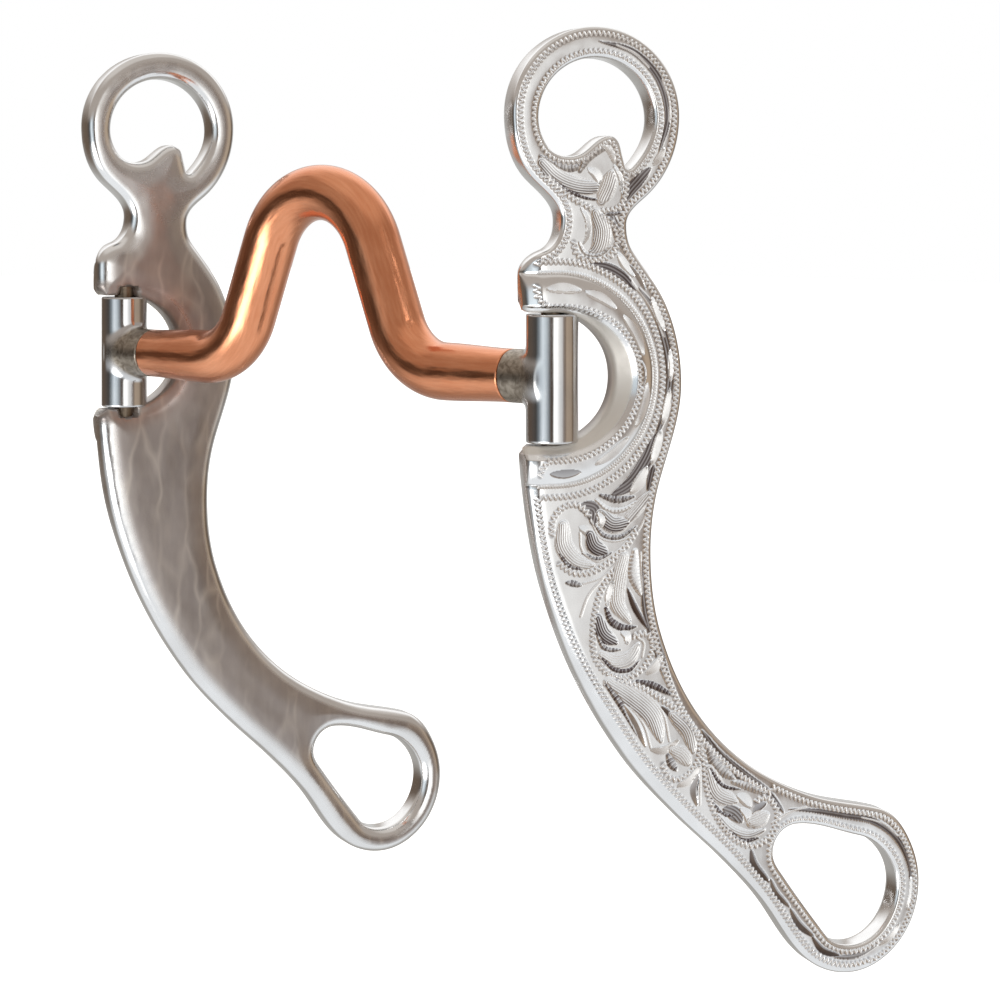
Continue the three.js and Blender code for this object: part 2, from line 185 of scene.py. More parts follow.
class Field:
    """A grid over the cheek: which points are metal, how far each is from the nearest edge, and how
    deep it is engraved and what light or shade is painted on it."""

    def __init__(self, spacing, reach):
        """Distances are worked out up to the reach."""
        self.spacing = spacing
        low = edge_start.min(axis=0) - 1
        high = edge_start.max(axis=0) + 1
        self.u = np.arange(low[0], high[0], spacing)
        self.v = np.arange(low[1], high[1], spacing)
        self.grid_u, self.grid_v = np.meshgrid(self.u, self.v)
        self.inside = self.fill()
        self.distance = np.full(self.grid_u.shape, FAR)
        for a, b in zip(edge_start, edge_end):
            window = self.window(a, b, reach)
            d, _, _ = self.to_segment(window, a, b)
            self.distance[window] = np.minimum(self.distance[window], d)
        self.cut = np.zeros(self.grid_u.shape)
        self.tone = np.zeros(self.grid_u.shape)

    def fill(self):
        """Which grid points are metal, by counting the edges crossed on the way to each."""
        crossings = np.zeros(self.grid_u.shape, int)
        for a, b in zip(edge_start, edge_end):
            for row in range(*np.searchsorted(self.v, sorted((a[1], b[1])))):
                u = a[0] + (b[0] - a[0]) * (self.v[row] - a[1]) / (b[1] - a[1])
                crossings[row, np.searchsorted(self.u, u):] += 1
        return crossings % 2 == 1

    def blurred_inside(self, reach):
        """How much of a square round each point is metal, averaged twice: 1 far from any edge."""
        cells = int(reach / self.spacing)
        shares = self.inside.astype(float)
        for axis in (0, 1, 0, 1):
            padded = np.pad(shares, [(cells + 1, cells) if a == axis else (0, 0) for a in (0, 1)])
            total = np.moveaxis(np.cumsum(padded, axis=axis), axis, 0)
            width = 2 * cells + 1
            shares = np.moveaxis((total[width:] - total[:-width]) / width, 0, axis)
        return shares

    def sample(self, values, u, v):
        """The values between grid points."""
        column = np.clip((u - self.u[0]) / self.spacing, 0, len(self.u) - 1.001)
        row = np.clip((v - self.v[0]) / self.spacing, 0, len(self.v) - 1.001)
        i, j = row.astype(int), column.astype(int)
        s, t = row - i, column - j
        low = values[i, j] * (1 - t) + values[i, j + 1] * t
        high = values[i + 1, j] * (1 - t) + values[i + 1, j + 1] * t
        return low * (1 - s) + high * s

    def window(self, a, b, margin):
        """The part of the grid round the box between two points."""
        low = np.minimum(a, b) - margin
        high = np.maximum(a, b) + margin
        columns = slice(np.searchsorted(self.u, low[0]), np.searchsorted(self.u, high[0]))
        rows = slice(np.searchsorted(self.v, low[1]), np.searchsorted(self.v, high[1]))
        return rows, columns

    def to_segment(self, window, a, b):
        """Distance to the segment, share along it, and which side each grid point is on."""
        along = b - a
        du = self.grid_u[window] - a[0]
        dv = self.grid_v[window] - a[1]
        t = np.clip((du * along[0] + dv * along[1]) / (along @ along + 1e-12), 0, 1)
        distance = np.hypot(du - t * along[0], dv - t * along[1])
        side = np.where(along[0] * dv - along[1] * du > 0, 1.0, -1.0)
        return distance, t, side

    def groove(self, points, width, depth, tone):
        """Cuts an even V along a line and paints its light or shade."""
        for a, b in zip(points[:-1], points[1:]):
            window = self.window(a, b, width / 2 + self.spacing)
            distance, _, _ = self.to_segment(window, a, b)
            shape = np.clip(1 - distance / (width / 2), 0, 1)
            self.cut[window] = np.maximum(self.cut[window], depth * shape)
            shade = np.clip(1.6 * shape, 0, 1)
            self.tone[window] += shade * (tone - self.tone[window])

    def strip(self, line, width, blunt):
        """A leaf-shaped strip along a line: its window, the place across it (-1 to 1), the
        distance from its middle, the distance along it, and which grid points lie in it."""
        window = self.window(line.min(axis=0), line.max(axis=0), width / 2)
        nearest = np.full(self.grid_u[window].shape, FAR)
        sided = nearest.copy()
        along = np.zeros_like(nearest)
        walked = 0.0
        for a, b in zip(line[:-1], line[1:]):
            length = np.linalg.norm(b - a)
            distance, t, side = self.to_segment(window, a, b)
            closer = distance < nearest
            nearest = np.where(closer, distance, nearest)
            sided = np.where(closer, side * distance, sided)
            along = np.where(closer, walked + t * length, along)
            walked += length
        taper = np.maximum(np.sin(math.pi * (blunt + (1 - blunt) * along / walked)), 0) ** 0.6
        half = width / 2 * taper + 1e-6
        across = sided / half
        return window, across, sided, along, np.abs(across) < 1

    def carve(self, window, inside, cut, tone):
        self.cut[window] = np.where(inside, cut, self.cut[window])
        self.tone[window] = np.where(inside, tone, self.tone[window])


# ---------------------------------------------------------------- engraving
HATCH_PITCH = 0.52
GROUND_PITCH = 0.7
STEP_PITCH = 0.85


def wriggle(field, line, swing=0.52, pitch=1.12):
    """A rocked zigzag cut along a line, as a flat graver leaves, painted as a highlight on a band of
    painted shade.
    """
    field.groove(respace(line, pitch), width=3.4 * swing, depth=0.02, tone=-0.42)
    middle = respace(line, pitch / 2)
    sign = np.where(np.arange(len(middle)) % 2, 1.0, -1.0)[:, None]
    zigzag = middle + sign * swing * left_normals(middle)
    field.groove(zigzag, width=0.46, depth=0.19, tone=0.9)


def inset(line, distance):
    """The line moved to its left by a distance, or by one distance for each point."""
    return line + left_normals(line) * np.broadcast_to(distance, len(line))[:, None]


def curve(points, count=30):
    """A smooth open line through three or more points."""
    p = np.array(points, float)
    knots = lengths_along(p)
    slopes = np.gradient(p, knots, axis=0)
    at = np.linspace(0, knots[-1], count)
    i = np.clip(np.searchsorted(knots, at, side="right") - 1, 0, len(p) - 2)
    gap = (knots[i + 1] - knots[i])[:, None]
    t = (at - knots[i])[:, None] / gap
    return (
        (2 * t**3 - 3 * t**2 + 1) * p[i]
        + (t**3 - 2 * t**2 + t) * gap * slopes[i]
        + (3 * t**2 - 2 * t**3) * p[i + 1]
        + (t**3 - t**2) * gap * slopes[i + 1]
    )


def ground(field, line, width, tone):
    """Background between the scrolls, cut down and lined, and painted with shade that changes along its
    lines.
    """
    window, _, offset, _, inside = field.strip(line, width, 0.0)
    lines = np.cos(2 * math.pi * offset / GROUND_PITCH)
    field.carve(window, inside, 0.07 + 0.02 * lines, tone - 0.1 + 0.12 * lines)


def hatched(field, line, width, tone):
    """A shaded leaf: a shallow dish filled with fine lines that run its length, painted with shade that
    lightens across it and along its lines, and with a painted highlight on its rim.
    """
    window, across, offset, _, inside = field.strip(line, width, 0.12)
    lines = np.cos(2 * math.pi * offset / HATCH_PITCH)
    rim = np.abs(across) > 0.9
    shade = tone + 0.3 * across + 0.55 * lines
    cut = 0.05 + 0.12 * (1 - across**2) - 0.035 * lines
    field.carve(window, inside, np.where(rim, 0.03, cut), np.where(rim, 0.8, shade))


def facet(field, line, width, tone):
    """One clean slanted cut, deepest along one side, its painted shading lighter towards one side. A
    bright one is a painted highlight; a dark one is painted shade, slants the other way and is shallower.
    """
    window, across, _, _, inside = field.strip(line, width, 0.0)
    deep_side = across * np.sign(tone) * (1 if line[-1, 1] > line[0, 1] else -1)
    deepest = 0.7
    falling = (deep_side + 1) / (1 + deepest)
    rising = (1 - deep_side) / (1 - deepest)
    depth = 0.36 if tone > 0 else 0.22
    cut = depth * np.where(deep_side < deepest, falling, rising)
    field.carve(window, inside, cut, min(tone, 0.45) + 0.1 * across)


def stepped(field, line, width, tone):
    """A crescent cut in short rocking steps across its length, with painted shading that lightens along
    each step and a painted highlight at each joint.
    """
    window, across, _, along, inside = field.strip(line, width, 0.08)
    step = (along / STEP_PITCH) % 1
    joint = step > 0.82
    cut = 0.16 * (1 - across**2) - 0.04 * step
    shade = tone + 0.3 * step + 0.1 * np.sin(3.1 * along)
    field.carve(window, inside, cut, np.where(joint, tone + 0.6, shade))


def stem(field, line, width, tone):
    """A plain bright line round a leaf: a painted highlight."""
    field.groove(line, width, 0.1, tone)


def stitch(field, line, width, tone):
    """A zigzag line. Its size and painted shading are always the same, so its width and painted shading
    are given as 0.
    """
    wriggle(field, line)


# Each stroke: how it is cut, its width, its painted shading from -1 (painted shade) to 1 (painted
# highlight), and the points on its line.
STROKES = [
    # the ring
    (ground, 1.7, -0.5, (9.2, 72.6), (17.5, 70.4), (23.5, 64.5), (25.5, 56.3), (23.3, 48.3)),
    (stem, 0.5, 0.9, (13.5, 71.8), (18, 69.9), (21, 67.2)),
    (stem, 0.5, 0.9, (24.2, 64.5), (25.8, 60), (25.9, 55.5)),
    (facet, 1.7, 0.9, (24.6, 49.8), (23.6, 47.6), (22, 46)),
    (ground, 2.6, -0.5, (21.5, 45.5), (18.5, 42.5), (15.8, 39.5), (14.5, 37)),
    # the leaf under the ring's cusp
    (stepped, 2.1, -0.55, (-4.2, 47.6), (-0.5, 45.6), (3, 45.2), (6, 46)),
    (stepped, 2, -0.45, (4.8, 44.6), (6.6, 47.4), (9.4, 49.2), (12, 50)),
    (stepped, 1.8, 0.5, (10.8, 50), (12.2, 48.6), (12.9, 46.4)),
    (hatched, 4.3, -0.15, (-3.8, 46.3), (-0.5, 43.2), (4, 41.4), (9, 41.2), (11, 41.6)),
    (stepped, 0.8, -0.9, (-2, 43.4), (1.5, 40.7), (5.5, 39), (10, 38.2)),
    (facet, 2, 0.9, (6.6, 45.2), (8.6, 44), (9.8, 41.6)),
    (hatched, 4, 0.15, (9.8, 38.2), (11.2, 41), (12.4, 44.8)),
    (facet, 1.1, 0.8, (12.6, 46), (14.4, 43.2), (14.6, 39.6)),
    (stitch, 0, 0, (-2.8, 43.4), (1, 40.2), (5, 37.6), (10, 35.9), (14.2, 36.9),
     (15.6, 40.5), (15.4, 44.6)),
    # the neck
    (ground, 3, -0.3, (12, 36), (14, 31), (17.5, 26), (21, 20.5)),
    (stepped, 0.9, -0.7, (10.4, 35.3), (12.6, 35.4), (14.6, 35.6)),
    (facet, 1.3, -0.8, (10.8, 34.8), (12.4, 33.4), (14.2, 31.4)),
    (hatched, 4.4, 0.05, (8.6, 35.6), (10, 31.5), (8.6, 27.2), (6, 26)),
    (facet, 1.2, 0.9, (4.8, 37.2), (6.6, 34.2), (6.6, 30.6), (5.6, 29)),
    (stepped, 1, -0.4, (4.6, 29.2), (6, 27), (9.4, 26.6), (12.2, 28.6)),
    (stitch, 0, 0, (9.8, 35), (12.6, 33), (13.7, 30), (12.6, 26.9), (9.6, 25.5), (5.8, 25.6),
     (3.8, 27.2), (3.4, 29.4)),
    (ground, 2, -0.55, (6.6, 24.5), (11, 24), (14.6, 22.2), (18, 18.8)),
    (facet, 1.9, 0.8, (13.6, 27), (15.4, 24.4), (17.6, 21.8)),
    (facet, 1.2, -0.35, (16.4, 24.4), (18.4, 22), (20.2, 18.8)),
    # the band round the window
    (facet, 2.2, 0.6, (-3.2, 19.4), (0.5, 19.6), (4.6, 19)),
    (facet, 2.2, 0.75, (5.4, 18.8), (9.4, 17.4), (12.8, 15)),
    (facet, 2.4, 0.9, (14.4, 13.6), (17.6, 9.4), (19.2, 4.8)),
    (facet, 1.8, -0.5, (18.6, 3.4), (18.9, 0.8), (18.7, -1.8)),
    (facet, 2.4, 0.9, (20, -1.2), (19.4, -6.2), (17.2, -10.6)),
    (facet, 2.2, 0.6, (15.6, -12.8), (11.8, -16.2), (7.8, -18.4)),
    (facet, 2, -0.45, (4.6, -19.8), (0.8, -20.2), (-2.6, -20)),
    # between the window's border and the back edge
    (ground, 2.4, -0.45, (18.5, 19.5), (22.8, 13.5), (25.4, 6.5), (26.2, 0), (25, -7),
     (22.2, -14)),
    (ground, 3.4, -0.5, (23, -12), (20.4, -18), (16, -23.4), (12, -25.4)),
    (stem, 0.45, 0.9, (17, 20.6), (21.4, 15), (24.6, 8.6)),
    (facet, 1.9, 0.95, (21.6, 17.4), (23, 14), (24.8, 9.8)),
    (facet, 1.5, 0.95, (26, 6), (26.4, 2.4), (26.1, -1.2)),
    (facet, 1.8, 0.95, (26, -2.6), (25.2, -6.6), (24.2, -10.6)),
    (facet, 2.1, 0.95, (23.8, -11.6), (22.8, -15.4), (21.6, -19)),
    (facet, 2.6, 0.9, (20.6, -19.4), (18.8, -22.6), (16.6, -25.2)),
    (ground, 1.7, -0.55, (22.2, -19), (21.4, -22), (20.8, -25)),
    # first scroll of the shank
    (ground, 3.4, -0.5, (4.4, -27.4), (8, -28.4), (7.8, -31.6)),
    (hatched, 2.8, 0.1, (15.6, -31), (18.4, -28.2), (21.4, -24.8)),
    (stepped, 1.6, -0.7, (9.6, -25.2), (13.4, -26.3), (17.6, -25.8)),
    (stepped, 1.4, -0.1, (8.6, -26.2), (11.4, -28.4), (15, -28.5), (18, -26.8)),
    (hatched, 4, -0.35, (9.6, -29.2), (12.6, -31.6), (16.4, -31.2)),
    (facet, 1.6, 0.7, (9, -28.8), (10, -30.4), (9.6, -32.2)),
    (stepped, 1.1, -0.65, (8.2, -31.4), (10.2, -33.8), (14, -34.4), (18, -32.2)),
    (stem, 0.4, 0.95, (7.4, -30.4), (9.4, -34.2), (13.6, -35.3), (18.2, -33.4), (20.4, -29.8)),
    (hatched, 4.2, 0.2, (1, -31.2), (1.2, -35.8), (4.2, -39.2), (8.2, -40.2)),
    (stepped, 0.9, -0.8, (0.1, -37.4), (2.2, -40), (5.6, -41)),
    (facet, 2, 0.95, (4.6, -31.8), (6.4, -32.6), (8.2, -34.6)),
    (hatched, 3.8, -0.55, (7.2, -33.6), (8.2, -36), (11.2, -37.6)),
    (stepped, 1, -0.7, (5.4, -37.4), (8.6, -38.9), (12.4, -37.6)),
    (stem, 0.4, 0.95, (4.8, -33), (5.2, -36.6), (8.6, -39.4), (12.6, -38), (17, -34.2)),
    (stitch, 0, 0, (-1.6, -33.4), (-1.6, -30.6), (0.2, -27.9), (3.2, -26.9), (6.2, -28.4),
     (6.8, -29.6)),
    (stitch, 0, 0, (0, -39.4), (3.2, -41.6), (7.2, -41.7), (11.2, -39.9), (15.2, -36.8),
     (18, -33.2)),
    # second scroll
    (ground, 2.6, -0.45, (20.6, -34), (20.2, -42), (20.6, -50), (22.8, -58), (25.8, -66.6),
     (28, -70.4)),
    (stepped, 1.5, -0.7, (1.8, -43.6), (3.4, -43.9), (5.2, -44.4)),
    (stem, 0.6, 0.9, (5.6, -44), (9.6, -43), (14, -39.6)),
    (stem, 0.6, 0.8, (5, -51), (6.8, -46.6), (10.2, -43)),
    (hatched, 4, 0.35, (15, -38.6), (13.6, -43.6), (13.4, -48.6), (16.6, -53.2)),
    (facet, 1.5, 0.95, (12.6, -43.4), (11.6, -46.2), (11.2, -49.4)),
    (stepped, 3, 0, (17.6, -37.6), (17.4, -42.6), (19.2, -47.4)),
    (stem, 0.4, 0.95, (19, -38), (19.2, -42.6), (19.4, -46.8)),
    (facet, 1.4, -0.7, (15.8, -45.4), (17.6, -49.8), (20.6, -54.6)),
    (stepped, 1.7, -0.85, (10.8, -49.6), (12.2, -52.6), (14.8, -54), (18, -54)),
    (hatched, 3.6, -0.6, (9, -51.6), (10.4, -55.2), (13.6, -57.4)),
    (facet, 1.7, 0.9, (14.2, -54.8), (15.8, -55.8), (15.8, -57.8)),
    (stepped, 1.1, -0.7, (8.8, -55.4), (10.6, -58.2), (14.4, -58.8)),
    (hatched, 3.6, 0.3, (9.8, -59.6), (12.8, -61.2), (16.4, -60.6), (18.6, -57.4)),
    (stepped, 1, -0.9, (10, -60.4), (13, -63), (16.4, -63.2), (18.8, -61.2)),
    (stem, 0.4, 0.9, (18.2, -56.4), (19.6, -57.4), (19.4, -60.6)),
    (stitch, 0, 0, (12.4, -41.6), (9.6, -45.8), (8.3, -50.2), (7.8, -55), (8.2, -59.8),
     (10.6, -63.2), (14.2, -64.9), (18.2, -64), (21.2, -61), (22, -57.6), (20.4, -55.6),
     (17.2, -56)),
    (facet, 2.3, 0.95, (20.2, -64.4), (22.6, -62.9), (24.3, -60.4)),
    (stepped, 1.6, -0.85, (18, -65.8), (22, -67), (26.4, -69.4)),
    # third scroll
    (hatched, 5.2, 0.05, (11.6, -65.6), (17, -69.2), (21.6, -73.4), (24, -79.6)),
    (stem, 0.45, 0.95, (12.4, -65.4), (19, -68.2), (24.2, -73.2), (25.8, -79.4)),
    (stepped, 1.5, -0.75, (11, -66.2), (13.6, -69.6), (16, -73.2), (18.4, -77.8)),
    (facet, 1.8, -0.15, (15, -70.6), (17.6, -74.6), (20.2, -80.2)),
    (stem, 0.4, 0.95, (16.6, -71.4), (19.8, -75.6), (21.4, -80.6)),
    (facet, 1.2, -0.6, (23.8, -71.6), (25.4, -73), (27, -75.4)),
    (hatched, 3.8, 0.1, (26.6, -73.8), (30.2, -77.4), (31.6, -82.6)),
    (facet, 2, 0.95, (21.4, -80.9), (24.8, -81.2), (28, -79.2)),
    (hatched, 3.6, 0.5, (26.6, -81.4), (28.8, -82.6), (30.6, -85)),
    (stepped, 2, -0.65, (25.4, -82.4), (26.2, -84.2), (27.6, -86)),
    (stitch, 0, 0, (13.6, -65.2), (18, -66.6), (22.6, -69.3), (27.2, -72.5), (30.8, -76),
     (33, -80.2), (32.6, -84.2), (30.2, -87), (27.2, -87.9), (25, -86.6), (24.2, -84.2)),
    (facet, 2.1, 0.95, (27.6, -89.4), (30.8, -88.2), (33.2, -85.2)),
    (facet, 1.9, -0.3, (32.4, -94), (31.6, -90.6), (32.8, -87)),
    (stem, 0.45, 0.95, (33.1, -85.8), (33.1, -89.6), (33.1, -93.8)),
    # fourth scroll
    (ground, 2.6, -0.45, (33.4, -77.4), (38, -83.6), (44, -88.8), (50, -93.2), (53.6, -97.4)),
    (stepped, 3.2, -0.4, (34.8, -81), (37.4, -85.6), (41.6, -89)),
    (stepped, 2, -0.35, (41, -89.4), (44.8, -90.8), (49, -92.8)),
    (hatched, 4.4, 0.15, (35.4, -86.4), (37.6, -91.8), (42.2, -94)),
    (stepped, 0.9, -0.9, (35.6, -86.2), (38.4, -90), (43, -91.4)),
    (ground, 3, -0.4, (38.6, -95), (41.4, -96.4), (43.4, -98.6)),
    (stepped, 1, -0.85, (36.2, -93.6), (38.2, -96.2), (41.2, -97)),
    (facet, 2.3, 0.95, (42, -92.4), (43.8, -93.4), (45.4, -95.4)),
    (facet, 2, 0.95, (42.8, -95.4), (44.4, -96.8), (45.4, -99.2)),
    (facet, 1.8, -0.5, (45.8, -97), (47.2, -95.6), (49.2, -94.8)),
    (hatched, 3.8, 0.4, (45.4, -98.8), (47.6, -98.2), (49.8, -97.2)),
    (hatched, 2.6, 0, (37.6, -96.8), (41, -100.2), (45, -101.6), (49, -100.6)),
    (stepped, 0.9, -0.9, (40.2, -100.2), (43.4, -102.7), (47.6, -102.4)),
    (stitch, 0, 0, (33.8, -80.6), (34.2, -86), (34.9, -91), (36.4, -95.4), (39, -99.6),
     (42.4, -102.8), (46, -104), (49.2, -103), (51.2, -100.6), (52, -97.6), (50.8, -94.8),
     (48.6, -93.4), (46.6, -94.4)),
    # the rein loop
    (facet, 1.9, -0.6, (45.4, -104.6), (46.2, -108), (50, -112.4)),
    (facet, 1.5, -0.5, (50.2, -111.6), (51.4, -114.6), (55, -118.4)),
    (facet, 1.7, -0.5, (55, -118.6), (57.2, -122.4), (61.2, -125.8)),
    (facet, 1.6, -0.6, (60.4, -125.4), (63, -128.8), (67.6, -130.6)),
    (ground, 1.5, -0.5, (54.4, -96.6), (61, -97.6), (69, -99.4), (76, -101.2),
     (82, -105.8), (85.2, -112.4), (85.2, -120)),
    (stem, 0.45, 0.95, (50.6, -99.4), (54.2, -97.6), (59, -96.6)),
    (stem, 0.4, 0.9, (73, -100.2), (78.4, -102), (82.2, -105.2)),
    (facet, 1.5, 0.9, (85.6, -114.6), (85.6, -118.6), (84.4, -122)),
    (ground, 1.2, -0.35, (66, -130.8), (71.4, -131), (77, -129.2)),
    (facet, 1.5, 0.8, (77.6, -129.2), (80.6, -127.6), (82.6, -124.8)),
]


def window_ring(top, back, bottom, run, curl=0.0):
    """A line round the window through three distances from the pin, with a straight run to the front
    along each lug. A curl turns each end of the line outwards, round the front of its lug."""
    angle = np.radians(np.linspace(90, -90, 90))
    side = np.where(angle > 0, top, bottom)
    reach = side + (back - side) * np.cos(angle) ** 2
    arc = np.stack((reach * np.cos(angle), reach * np.sin(angle)), axis=1)
    upper, lower = [(-run, top)], [(-run, -bottom)]
    if curl:
        upper = [(-run - 2.2, top + curl), (-run - 2.1, top + 0.5 * curl), (-run, top)]
        lower = [(-run, -bottom), (-run - 1.4, -bottom - 0.4 * curl), (-run - 1.6, -bottom - 0.7 * curl)]
        upper, lower = curve(upper, 8), curve(lower, 8)
    return np.concatenate((upper, arc, lower))


def engrave_borders(field):
    """Zigzag lines inside the cheek's outline, round both openings and round the window."""
    u, v = outer_line[:, 0], outer_line[:, 1]
    shank_front = (u < -v * 0.55 + 2) & (v < -16)
    widening = 1.5 * smoothstep(-45, -78, v) - 0.9 * smoothstep(-98, -120, v)
    border = 1.5 + np.where(shank_front, widening, 0)
    below_window = int(np.argmax(v < -24))
    order = np.roll(np.arange(len(v)), -below_window)
    window_side = (np.abs(v) < 25.5) & (u < 15)
    order = order[~window_side[order]]
    line = inset(outer_line, border)[order]
    longest_gap = 3
    breaks = np.nonzero(np.linalg.norm(np.diff(line, axis=0), axis=1) > longest_gap)[0] + 1
    fewest_points = 20
    for run in np.split(line, breaks):
        if len(run) > fewest_points:
            wriggle(field, run)
    for opening in (ring_line, loop_line):
        closed = np.concatenate((opening, opening[:1]))
        wriggle(field, inset(closed, -1.25))
    wriggle(field, window_ring(top=25.2, back=24.2, bottom=25.2, run=4.0))
    wriggle(field, window_ring(top=15.5, back=18.5, bottom=17.3, run=3.0, curl=4.6), swing=0.48)
    wriggle(field, window_ring(top=22.9, back=22.5, bottom=22.9, run=4.5), swing=0.22, pitch=0.62)


def engrave(field):
    """The strokes in their order, since a later one cuts over an earlier one, and then the borders."""
    for cutter, width, tone, *points in STROKES:
        cutter(field, curve(points), width, tone)
    engrave_borders(field)


# ---------------------------------------------------------------- shape of the two faces
# The window's bevel rises from its wall to the crest, where its band starts and falls to the rim. The
# crest and rim are distances from the window's centre, and the band is narrower at the back.
CROWN_REACH = 5.0
CROWN_FALL = 0.4
BAND_RIM = 22.6
BAND_RISE = 1.45
BEVEL_DEPTH = 1.6
BEVEL_CREST = 18.6
SCOOP_R = 4.6
SCOOP_DEPTH = 2.0
SCOOP_TOP = WINDOW_R + 2.2
coarse = Field(COARSE, reach=9)
crown = coarse.blurred_inside(CROWN_REACH)


def window_place(u, v):
    """Distance from the window's centre, and the distance at which its bevel meets its band."""
    back = np.maximum(u - WINDOW_U, 0)
    angle = np.arctan2(v, back)
    narrowing = np.where(v > 0, 2.8, 1.5) * np.sin(angle) ** 2
    return np.hypot(back, v), BEVEL_CREST - narrowing


def front_side(u, v):
    """1 where the nearest edge is in front of the point, 0 where it is behind."""
    rise = coarse.sample(coarse.distance, u + 0.4, v) - coarse.sample(coarse.distance, u - 0.4, v)
    return smoothstep(0.1, 0.6, rise)


def outer_height(u, v, distance):
    """Height of the face before engraving: slightly crowned, with the window's bevel and band."""
    rho, crest = window_place(u, v)
    edge_fall = 0.15 * np.clip(1 - (distance - OUTER_EDGE) / 2.5, 0, 1) ** 2
    top = FACE - edge_fall - CROWN_FALL * (1 - coarse.sample(crown, u, v))
    bevel = FACE - BEVEL_DEPTH + (rho - WINDOW_R) * (BEVEL_DEPTH + BAND_RISE) / (crest - WINDOW_R)
    fall = np.clip((rho - crest) / (BAND_RIM - crest), 0, 1)
    band = top + (FACE + BAND_RISE - top) * np.sqrt(1 - fall**2)
    valley = 0.12 * np.exp(-(((rho - BAND_RIM) / 0.35) ** 2))
    outside = np.where(rho < BAND_RIM, band, top)
    height = np.where(rho < crest, np.minimum(bevel, FACE + BAND_RISE), outside)
    return height - valley - shank_bevel(u, v, distance) - lug_nose(u, v)


def shank_bevel(u, v, distance):
    """How far the face falls towards the shank's front edge."""
    on_shank = smoothstep(-24, -66, v) * smoothstep(-104, -84, v)
    near_edge = np.clip(1 - (distance - OUTER_EDGE) / 2.4, 0, 1) ** 2
    return 0.9 * on_shank * front_side(u, v) * near_edge


def lug_nose(u, v):
    """How far the face slopes down in front of the lugs, more steeply on the upper one."""
    past_lug = -4.5 - u
    lean = 0.30 + 0.18 * smoothstep(0, 10, v)
    return lean * (past_lug + np.hypot(past_lug, 0.9)) * smoothstep(30, 25, v)


def inner_height(u, v, distance):
    """Height of the smooth inner face: pillowed towards its edges, and less so up on the ring, with
    arched scoops over the barrel's ends."""
    reach = np.hypot(u, np.abs(v) - (SCOOP_TOP - SCOOP_R))
    scoop = SCOOP_DEPTH * smoothstep(SCOOP_R + 0.3, SCOOP_R - 0.3, reach)
    pillow = 0.95 - 0.5 * smoothstep(28, 36, v)
    pillow = pillow * np.clip(1 - (distance - INNER_EDGE) / 5.5, 0, 1) ** 2
    return FACE - pillow - scoop


def wall_drop(u, v):
    """How round an edge is: 1 is a full quarter circle, and the lugs' edges by the barrel have less."""
    beside = smoothstep(WINDOW_R + 2.6, WINDOW_R + 1.4, np.abs(v)) * smoothstep(-7.0, -6.2, u)
    return 1 - 0.7 * beside * smoothstep(14, 6, u)


# ---------------------------------------------------------------- sheets
def nearest_on_edge(points):
    """The closest point of the outlines to each point, and how far along the outlines it is."""
    along = edge_end - edge_start
    square = (along**2).sum(axis=1) + 1e-12
    found = np.zeros((len(points), 2))
    place = np.zeros(len(points))
    batch = 400
    for first in range(0, len(points), batch):
        p = points[first:first + batch]
        offset = p[:, None] - edge_start[None]
        t = np.clip((offset * along).sum(axis=2) / square, 0, 1)
        close = edge_start[None] + t[..., None] * along
        best = ((p[:, None] - close) ** 2).sum(axis=2).argmin(axis=1)
        rows = np.arange(len(p))
        found[first:first + batch] = close[rows, best]
        place[first:first + batch] = best + t[rows, best]
    return found, place


def boundary_loops(quads):
    """The mesh's open edges as closed lists of points, with the mesh on the left, and the points
    at which two such edges start."""
    directed = np.concatenate([np.stack((quads[:, i], quads[:, (i + 1) % 4]), 1) for i in range(4)])
    total = quads.max() + 1
    forward = directed[:, 0] * total + directed[:, 1]
    backward = directed[:, 1] * total + directed[:, 0]
    open_edges = directed[~np.isin(forward, backward)]
    starts, counts = np.unique(open_edges[:, 0], return_counts=True)
    after = dict(map(tuple, open_edges))
    loops = []
    while after:
        first = next(iter(after))
        loop = [first]
        step = after.pop(first)
        while step != first:
            loop.append(step)
            step = after.pop(step)
        loops.append(loop)
    return loops, starts[counts > 1]


def face_quads(field, edge):
    """The grid's squares that lie within the rounded edge, and the loops round them."""
    depth_inside = np.where(field.inside, field.distance, -field.distance) - edge
    kept = depth_inside > -0.3 * field.spacing
    cell = kept[:-1, :-1] & kept[:-1, 1:] & kept[1:, 1:] & kept[1:, :-1]
    while True:
        rows, columns = np.nonzero(cell)
        width = field.grid_u.shape[1]
        corner = rows * width + columns
        quads = np.stack((corner, corner + 1, corner + width + 1, corner + width), axis=1)
        loops, pinched = boundary_loops(quads)
        if not len(pinched):
            return quads, loops
        for point in pinched:
            r, c = divmod(int(point), width)
            cell[max(r - 1, 0):r + 1, max(c - 1, 0):c + 1] = False


